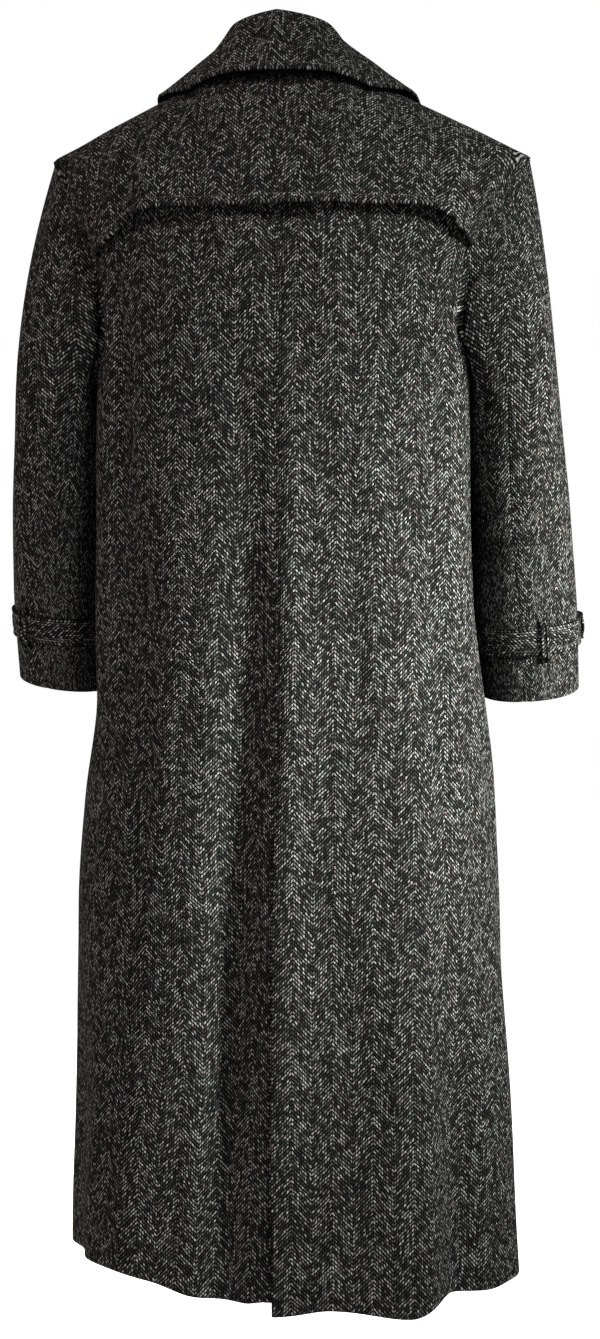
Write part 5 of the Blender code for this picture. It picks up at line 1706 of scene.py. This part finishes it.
def tweed_material():
    """Woven wool herringbone tweed: dark and light yarns in zigzag stripes, matte, with a short nap.

    The eye sees light flecks on a near-black ground, in slanting rows that turn back at every stripe. No two
    flecks are alike, and here and there a yarn is lighter, browner or greener than its neighbours. The real
    twill has about 2.5 mm between its rows, which is too fine to show in the render, so it is drawn coarser.
    A noise scale is one over a size in metres: yarns sway over 17 mm, patches are 59 mm and fuzz is 2.4 mm.
    """
    made = bpy.data.materials.get(TWEED_SLOT + "_cloth")
    if made:
        return made
    cloth = bpy.context.scene.overcoat_cloth
    material, tree, shader = new_material(TWEED_SLOT + "_cloth")

    place = add_node(tree, "ShaderNodeUVMap", uv_map="cloth_map")
    sway = add_node(tree, "ShaderNodeTexNoise", {"Vector": place, "Scale": 60.0}, noise_dimensions="2D")
    from_middle = {0: sway.outputs["Color"], 1: (0.5, 0.5, 0.5)}
    shift = add_node(tree, "ShaderNodeVectorMath", from_middle, operation="SUBTRACT")
    drawn = add_node(tree, "ShaderNodeVectorMath", {0: shift, "Scale": 0.0022}, operation="SCALE")
    woven = add_node(tree, "ShaderNodeVectorMath", {0: place, 1: drawn}, operation="ADD")
    split = add_node(tree, "ShaderNodeSeparateXYZ", {0: woven})
    across = split.outputs[0]
    along = split.outputs[1]

    # Zigzag: the slant runs up over one stripe and down over the next
    zigzag = add_node(tree, "ShaderNodeMath", {0: across, 1: cloth.stripe}, operation="PINGPONG")
    slant = add_node(tree, "ShaderNodeMath", {0: along, 1: zigzag}, operation="ADD")
    row_place = add_node(tree, "ShaderNodeMath", {0: slant, 1: cloth.twill}, operation="DIVIDE")
    fleck_place = add_node(tree, "ShaderNodeMath", {0: across, 1: cloth.fleck}, operation="DIVIDE")
    row = add_node(tree, "ShaderNodeMath", {0: row_place}, operation="FLOOR")
    fleck = add_node(tree, "ShaderNodeMath", {0: fleck_place}, operation="FLOOR")
    masks = []
    for counted, inner, outer, least in ((row_place, 0.14, 0.36, 0.0), (fleck_place, 0.20, 0.44, 0.08)):
        part = add_node(tree, "ShaderNodeMath", {0: counted}, operation="FRACT")
        away = add_node(tree, "ShaderNodeMath", {0: part, 1: 0.5}, operation="SUBTRACT")
        away = add_node(tree, "ShaderNodeMath", {0: away}, operation="ABSOLUTE")
        soft = {0: away, 1: inner, 2: outer, 3: 1.0, 4: least}
        masks.append(add_node(tree, "ShaderNodeMapRange", soft, interpolation_type="SMOOTHSTEP"))
    on_fleck = add_node(tree, "ShaderNodeMath", dict(enumerate(masks)), operation="MULTIPLY")

    # Each fleck, each yarn and each patch of cloth has its own brightness
    cell = add_node(tree, "ShaderNodeCombineXYZ", {0: fleck, 1: row})
    chance = add_node(tree, "ShaderNodeTexWhiteNoise", {"Vector": cell}, noise_dimensions="2D")
    bright = add_node(tree, "ShaderNodeMath", {0: chance.outputs["Value"], 1: 2.4}, operation="POWER")
    level = add_node(tree, "ShaderNodeMath", {0: bright, 1: 0.95, 2: 0.05}, operation="MULTIPLY_ADD")
    warp = add_node(tree, "ShaderNodeTexWhiteNoise", {"W": fleck}, noise_dimensions="1D")
    weft = add_node(tree, "ShaderNodeTexWhiteNoise", {"W": row}, noise_dimensions="1D")
    patch = add_node(tree, "ShaderNodeTexNoise", {"Vector": place, "Scale": 17.0, "Detail": 4.0})
    fuzz = add_node(tree, "ShaderNodeTexNoise", {"Vector": place, "Scale": 420.0, "Detail": 3.0})
    shades = (
        (warp.outputs["Value"], 0.0, 1.0, 0.82, 1.17),
        (weft.outputs["Value"], 0.0, 1.0, 0.90, 1.10),
        (patch, 0.30, 0.72, 0.86, 1.12),
        (fuzz, 0.25, 0.75, 0.85, 1.15),
        (on_fleck, 0.0, 1.0, 0.0, 1.0),
    )
    for shade in shades:
        factor = add_node(tree, "ShaderNodeMapRange", dict(enumerate(shade)))
        level = add_node(tree, "ShaderNodeMath", {0: level, 1: factor}, operation="MULTIPLY")
    tint = add_node(tree, "ShaderNodeSeparateColor", {0: chance.outputs["Color"]})
    hue = add_node(tree, "ShaderNodeValToRGB", {0: tint.outputs[1]})
    ramp = hue.color_ramp
    ramp.interpolation = "CONSTANT"
    ramp.elements[0].color = (*cloth.fleck_colour, 1.0)
    ramp.elements[1].position = 0.80
    ramp.elements[1].color = (*cloth.brown_colour, 1.0)
    ramp.elements.new(0.90).color = (*cloth.green_colour, 1.0)
    ground = add_node(tree, "ShaderNodeMapRange", {0: fuzz, 1: 0.30, 2: 0.80, 3: 0.5, 4: 2.0})
    tone = {0: (*cloth.ground_colour,), "Scale": ground}
    ground = add_node(tree, "ShaderNodeVectorMath", tone, operation="SCALE")
    colour = add_node(tree, "ShaderNodeMix", {0: level, 6: ground, 7: hue}, data_type="RGBA")

    # Yarns stand up from the ground, and loose fibres roughen them
    height = add_node(tree, "ShaderNodeMath", {0: fuzz, 1: 0.6, 2: on_fleck}, operation="MULTIPLY_ADD")
    bump = add_node(tree, "ShaderNodeBump", {"Strength": 0.35, "Distance": 0.0006, "Height": height})
    finish = {
        "Base Color": colour.outputs[2],
        "Normal": bump,
        "Roughness": 0.92,
        "Specular IOR Level": 0.0,
        "Sheen Weight": cloth.nap,
        "Sheen Roughness": 0.45,
        "Sheen Tint": (*cloth.fleck_colour, 1.0),
    }
    set_inputs(tree, shader, finish)
    return material


def horn_material():
    """Polished dark horn: near-black brown with faint paler streaks, cut on a lathe and buffed.

    The eye sees a soft, clear highlight along the rim and in the dish, and streaks only close up. The streaks
    are about 11 mm long and 2 mm wide, and the grain that dulls the polish is about 1 mm.
    """
    horn = bpy.context.scene.overcoat_horn
    material, tree, shader = new_material(HORN_SLOT + "_polished")
    place = add_node(tree, "ShaderNodeTexCoord").outputs["Object"]
    drawn = {"Vector": place, "Rotation": (0.3, 0.2, 0.5), "Scale": (90.0, 90.0, 520.0)}
    long = add_node(tree, "ShaderNodeMapping", drawn)
    streak = add_node(tree, "ShaderNodeTexNoise", {"Vector": long, "Scale": 1.0, "Detail": 4.0})
    grown = add_node(tree, "ShaderNodeMapRange", {0: streak.outputs["Fac"], 1: 0.48, 2: 0.80})
    tones = {0: grown, 6: (*horn.colour, 1.0), 7: (*horn.streak_colour, 1.0)}
    colour = add_node(tree, "ShaderNodeMix", tones, data_type="RGBA")
    grain = add_node(tree, "ShaderNodeTexNoise", {"Vector": place, "Scale": 900.0, "Detail": 2.0})
    rough = add_node(tree, "ShaderNodeMapRange", {0: grain.outputs["Fac"], 3: 0.34, 4: 0.50})
    raised = {"Strength": 0.06, "Distance": 0.0002, "Height": streak.outputs["Fac"]}
    bump = add_node(tree, "ShaderNodeBump", raised)
    finish = {
        "Base Color": colour.outputs[2],
        "Roughness": rough,
        "Normal": bump,
        "Specular IOR Level": 0.22,
    }
    set_inputs(tree, shader, finish)
    return material


def thread_material():
    """Twisted sewing thread, dark and slightly waxed: a dull sheen along each stitch.

    Its twist, about 0.35 mm from turn to turn, shows only close up.
    """
    sewing = bpy.context.scene.overcoat_sewing
    material, tree, shader = new_material("waxed_sewing_thread")
    place = add_node(tree, "ShaderNodeTexCoord").outputs["Object"]
    wound = {"Vector": place, "Scale": 900.0, "Distortion": 1.5}
    twist = add_node(tree, "ShaderNodeTexWave", wound, bands_direction="DIAGONAL").outputs["Fac"]
    grown = add_node(tree, "ShaderNodeMapRange", {0: twist, 3: 0.55, 4: 1.25})
    shade = add_node(tree, "ShaderNodeCombineColor", {index: grown for index in range(3)})
    tones = {0: 1.0, 6: (*sewing.colour, 1.0), 7: shade}
    colour = add_node(tree, "ShaderNodeMix", tones, data_type="RGBA", blend_type="MULTIPLY")
    bump = add_node(tree, "ShaderNodeBump", {"Strength": 0.4, "Distance": 0.0001, "Height": twist})
    set_inputs(tree, shader, {"Base Color": colour.outputs[2], "Normal": bump, "Roughness": 0.6})
    return material


def floor_material():
    """Matte painted studio floor: even and pale, with a trace of roller texture, its dots 4 mm apart."""
    stage = bpy.context.scene.overcoat_stage
    material, tree, shader = new_material("matte_floor_paint")
    place = add_node(tree, "ShaderNodeTexCoord").outputs["Object"]
    stipple = add_node(tree, "ShaderNodeTexNoise", {"Vector": place, "Scale": 260.0, "Detail": 2.0})
    raised = {"Strength": 0.05, "Distance": 0.0005, "Height": stipple.outputs["Fac"]}
    finish = {
        "Normal": add_node(tree, "ShaderNodeBump", raised),
        "Base Color": (*stage.floor_colour, 1.0),
        "Roughness": 0.9,
        "Emission Color": (*stage.floor_colour, 1.0),
        "Emission Strength": 0.08,
    }
    set_inputs(tree, shader, finish)
    return material


# Settings that a user would change


class OVERCOAT_PG_cloth(bpy.types.PropertyGroup):
    """Sizes and colours of the tweed."""

    stripe: bpy.props.FloatProperty(
        name="Stripe", description="Width of one herringbone stripe", default=0.0200, unit="LENGTH",
        precision=4,
    )
    twill: bpy.props.FloatProperty(
        name="Twill", description="Distance between twill rows, down the cloth", default=0.0040,
        unit="LENGTH", precision=4,
    )
    fleck: bpy.props.FloatProperty(
        name="Fleck", description="Width of one light fleck", default=0.0025, unit="LENGTH", precision=5
    )
    nap: bpy.props.FloatProperty(
        name="Nap", description="Strength of the nap's sheen", default=0.02, min=0.0, max=1.0,
        subtype="FACTOR",
    )
    ground_colour: bpy.props.FloatVectorProperty(
        name="Ground", description="Colour of the dark yarns", subtype="COLOR", default=linear("#040404")
    )
    fleck_colour: bpy.props.FloatVectorProperty(
        name="Flecks", description="Colour of the light yarns", subtype="COLOR", default=linear("#5d5d5c")
    )
    brown_colour: bpy.props.FloatVectorProperty(
        name="Brown flecks", description="Colour of the browner yarns", subtype="COLOR",
        default=linear("#57504c"),
    )
    green_colour: bpy.props.FloatVectorProperty(
        name="Green flecks", description="Colour of the greener yarns", subtype="COLOR",
        default=linear("#555955"),
    )


class OVERCOAT_PG_sewing(bpy.types.PropertyGroup):
    """Sizes and colour of the sewing."""

    spacing: bpy.props.FloatProperty(
        name="Spacing", description="From one stitch to the next", default=0.0040, unit="LENGTH", precision=4
    )
    length: bpy.props.FloatProperty(
        name="Length", description="Length of one stitch", default=0.0034, unit="LENGTH", precision=4
    )
    radius: bpy.props.FloatProperty(
        name="Thread", description="Half the thread's thickness", default=0.00035, unit="LENGTH", precision=5
    )
    colour: bpy.props.FloatVectorProperty(
        name="Thread colour", description="Colour of the thread", subtype="COLOR", default=linear("#26221f")
    )


class OVERCOAT_PG_horn(bpy.types.PropertyGroup):
    """Colours of the buttons."""

    colour: bpy.props.FloatVectorProperty(
        name="Horn", description="Colour of the horn", subtype="COLOR", default=linear("#120d0a")
    )
    streak_colour: bpy.props.FloatVectorProperty(
        name="Streaks", description="Colour of the paler streaks", subtype="COLOR", default=linear("#2c2019")
    )


class OVERCOAT_PG_stage(bpy.types.PropertyGroup):
    """Floor and lights."""

    floor_height: bpy.props.FloatProperty(
        name="Floor", description="Height of the floor", default=-1.45, unit="LENGTH"
    )
    floor_colour: bpy.props.FloatVectorProperty(
        name="Floor colour", description="Colour of the floor", subtype="COLOR", default=linear("#f7f7f7")
    )
    surround: bpy.props.FloatProperty(
        name="Surround", description="Brightness of the white surround", default=1.0, min=0.0
    )
    key: bpy.props.FloatProperty(
        name="Key", description="Power of the main light, in watts", default=19.0, min=0.0
    )
    top: bpy.props.FloatProperty(
        name="Top", description="Power of the light from above, in watts", default=66.0, min=0.0
    )
    fill: bpy.props.FloatProperty(
        name="Fill", description="Power of the warm fill light, in watts", default=50.0, min=0.0
    )
    front: bpy.props.FloatProperty(
        name="Front", description="Power of the light on the coat's front, in watts", default=130.0, min=0.0
    )


GROUPS = {
    "overcoat_cloth": OVERCOAT_PG_cloth,
    "overcoat_sewing": OVERCOAT_PG_sewing,
    "overcoat_horn": OVERCOAT_PG_horn,
    "overcoat_stage": OVERCOAT_PG_stage,
}


# Operators


class OVERCOAT_OT_body(bpy.types.Operator):
    """Make the two halves of the back, with the vent, and the two fronts."""

    bl_idname = "overcoat.body"
    bl_label = "Backs and fronts"

    def execute(self, context):
        for side in SIDES:
            add_back(side)
            add_front(side)
        return {"FINISHED"}


class OVERCOAT_OT_yoke(bpy.types.Operator):
    """Make the loose storm yoke over the back."""

    bl_idname = "overcoat.yoke"
    bl_label = "Yoke"

    def execute(self, context):
        add_yoke()
        return {"FINISHED"}


class OVERCOAT_OT_collar(bpy.types.Operator):
    """Make the folded collar and the two lapels."""

    bl_idname = "overcoat.collar"
    bl_label = "Collar and lapels"

    def execute(self, context):
        add_collar()
        for side in SIDES:
            add_lapel(side)
        return {"FINISHED"}


class OVERCOAT_OT_sleeves(bpy.types.Operator):
    """Make both panels of each sleeve."""

    bl_idname = "overcoat.sleeves"
    bl_label = "Sleeves"

    def execute(self, context):
        for side in SIDES:
            for kind in ("top", "under"):
                add_sleeve(side, kind)
        return {"FINISHED"}


class OVERCOAT_OT_straps(bpy.types.Operator):
    """Make the cuff straps and their loops."""

    bl_idname = "overcoat.straps"
    bl_label = "Cuff straps"

    def execute(self, context):
        for side in SIDES:
            add_strap(side)
            add_loop(side)
        return {"FINISHED"}


class OVERCOAT_OT_buttons(bpy.types.Operator):
    """Make the horn buttons of the front and the straps."""

    bl_idname = "overcoat.buttons"
    bl_label = "Buttons"

    def execute(self, context):
        material = horn_material()
        for place in button_places():
            add_button(*place, material)
        return {"FINISHED"}


class OVERCOAT_OT_sewing(bpy.types.Operator):
    """Sew the topstitching, the buttonholes and the buttons."""

    bl_idname = "overcoat.sewing"
    bl_label = "Sewing"

    def execute(self, context):
        sewing = context.scene.overcoat_sewing
        thread = thread_material()
        add_sewing((sewing.spacing, sewing.length, sewing.radius), stitch_tree(), thread)
        add_button_thread(thread)
        return {"FINISHED"}


class OVERCOAT_OT_stage(bpy.types.Operator):
    """Make the floor, the lights and the camera."""

    bl_idname = "overcoat.stage"
    bl_label = "Stage"

    def execute(self, context):
        stage = context.scene.overcoat_stage
        add_floor(stage.floor_height)
        add_surround(stage.surround)
        for light in lights(stage):
            add_light(*light)
        add_camera()
        context.scene.view_settings.view_transform = "Standard"
        return {"FINISHED"}


def lights(stage):
    """The soft lights: name, place, aim, size, spread in degrees, power and colour."""
    return (
        ("key_light", (2.0, -1.05, 0.35), (0.05, 0.0, -0.68), (0.4, 0.4), 29.0, stage.key, "#fafdf6"),
        ("top_light", (0.9, -1.6, 0.95), (0.0, 0.0, -0.30), (0.5, 0.5), 180.0, stage.top, "#fdfdfa"),
        ("fill_light", (-2.2, -1.6, 0.4), (0.0, 0.0, -0.70), (1.2, 1.2), 180.0, stage.fill, "#ffe0d8"),
        ("front_light", (-1.7, 2.3, 0.35), (0.0, 0.0, -0.60), (1.6, 1.6), 180.0, stage.front, "#fffaf4"),
    )


def add_light(name, spot, aim, size, spread, power_watts, colour):
    """A soft rectangular light at a spot, aimed at a point."""
    data = bpy.data.lights.new(name, "AREA")
    data.shape = "RECTANGLE"
    data.size, data.size_y = size
    data.energy = power_watts
    data.spread = math.radians(spread)
    data.color = linear(colour)
    light = add_object(name, data)
    light.location = spot
    towards = np.array(aim) - np.array(spot)
    flat = math.hypot(towards[0], towards[1])
    light.rotation_euler = (math.atan2(flat, -towards[2]), 0.0, math.atan2(-towards[0], towards[1]))


def add_surround(strength):
    """An even white surround."""
    world = bpy.data.worlds.new("studio_surround")
    world.use_nodes = True
    background = world.node_tree.nodes["Background"]
    background.inputs["Color"].default_value = (1.0, 1.0, 1.0, 1.0)
    background.inputs["Strength"].default_value = strength
    bpy.context.scene.world = world


def add_floor(height):
    """A wide round floor."""
    radius = 14.0
    sides = 96
    angles = np.linspace(0.0, 2 * np.pi, sides, endpoint=False)
    points = [(radius * math.cos(angle), radius * math.sin(angle), height) for angle in angles]
    mesh = bpy.data.meshes.new("floor")
    mesh.from_pydata(points, [], [list(range(sides))])
    mesh.materials.append(floor_material())
    floor = add_object("floor", mesh)


def add_camera():
    """The camera behind the coat, a little to the wearer's right, level with the picture's middle."""
    data = bpy.data.cameras.new("camera")
    data.sensor_fit = "AUTO"
    data.sensor_width = SENSOR
    data.lens = SENSOR * CAMERA_DISTANCE / (max(IMAGE_SIZE) * PIXEL)
    camera = add_object("camera", data)
    right = (IMAGE_SIZE[0] / 2 - ORIGIN_PIXEL[0]) * PIXEL
    height = (ORIGIN_PIXEL[1] - IMAGE_SIZE[1] / 2) * PIXEL
    sine = math.sin(CAMERA_TURN)
    cosine = math.cos(CAMERA_TURN)
    camera.location = (
        sine * CAMERA_DISTANCE + cosine * right,
        -cosine * CAMERA_DISTANCE + sine * right,
        height,
    )
    camera.rotation_euler = (math.radians(90.0), 0.0, CAMERA_TURN)
    bpy.context.scene.camera = camera


OPERATORS = (
    OVERCOAT_OT_body,
    OVERCOAT_OT_yoke,
    OVERCOAT_OT_collar,
    OVERCOAT_OT_sleeves,
    OVERCOAT_OT_straps,
    OVERCOAT_OT_buttons,
    OVERCOAT_OT_sewing,
    OVERCOAT_OT_stage,
)


class OVERCOAT_PT_panel(bpy.types.Panel):
    """The overcoat's settings and its pieces."""

    bl_idname = "OVERCOAT_PT_panel"
    bl_label = "Overcoat"
    bl_space_type = "VIEW_3D"
    bl_region_type = "UI"
    bl_category = "Overcoat"

    def draw(self, context):
        for group_name, group_class in GROUPS.items():
            box = self.layout.box()
            group = getattr(context.scene, group_name)
            for name in group_class.__annotations__:
                box.prop(group, name)
        for operator in OPERATORS:
            self.layout.operator(operator.bl_idname)


CLASSES = (*GROUPS.values(), *OPERATORS, OVERCOAT_PT_panel)


def register():
    for item in CLASSES:
        bpy.utils.register_class(item)
    for name, group in GROUPS.items():
        setattr(bpy.types.Scene, name, bpy.props.PointerProperty(type=group))


def unregister():
    for name in GROUPS:
        delattr(bpy.types.Scene, name)
    for item in reversed(CLASSES):
        bpy.utils.unregister_class(item)


def main():
    register()
    bpy.ops.overcoat.body()
    bpy.ops.overcoat.yoke()
    bpy.ops.overcoat.collar()
    bpy.ops.overcoat.sleeves()
    bpy.ops.overcoat.straps()
    bpy.ops.overcoat.buttons()
    bpy.ops.overcoat.sewing()
    bpy.ops.overcoat.stage()


if __name__ == "__main__":
    main()
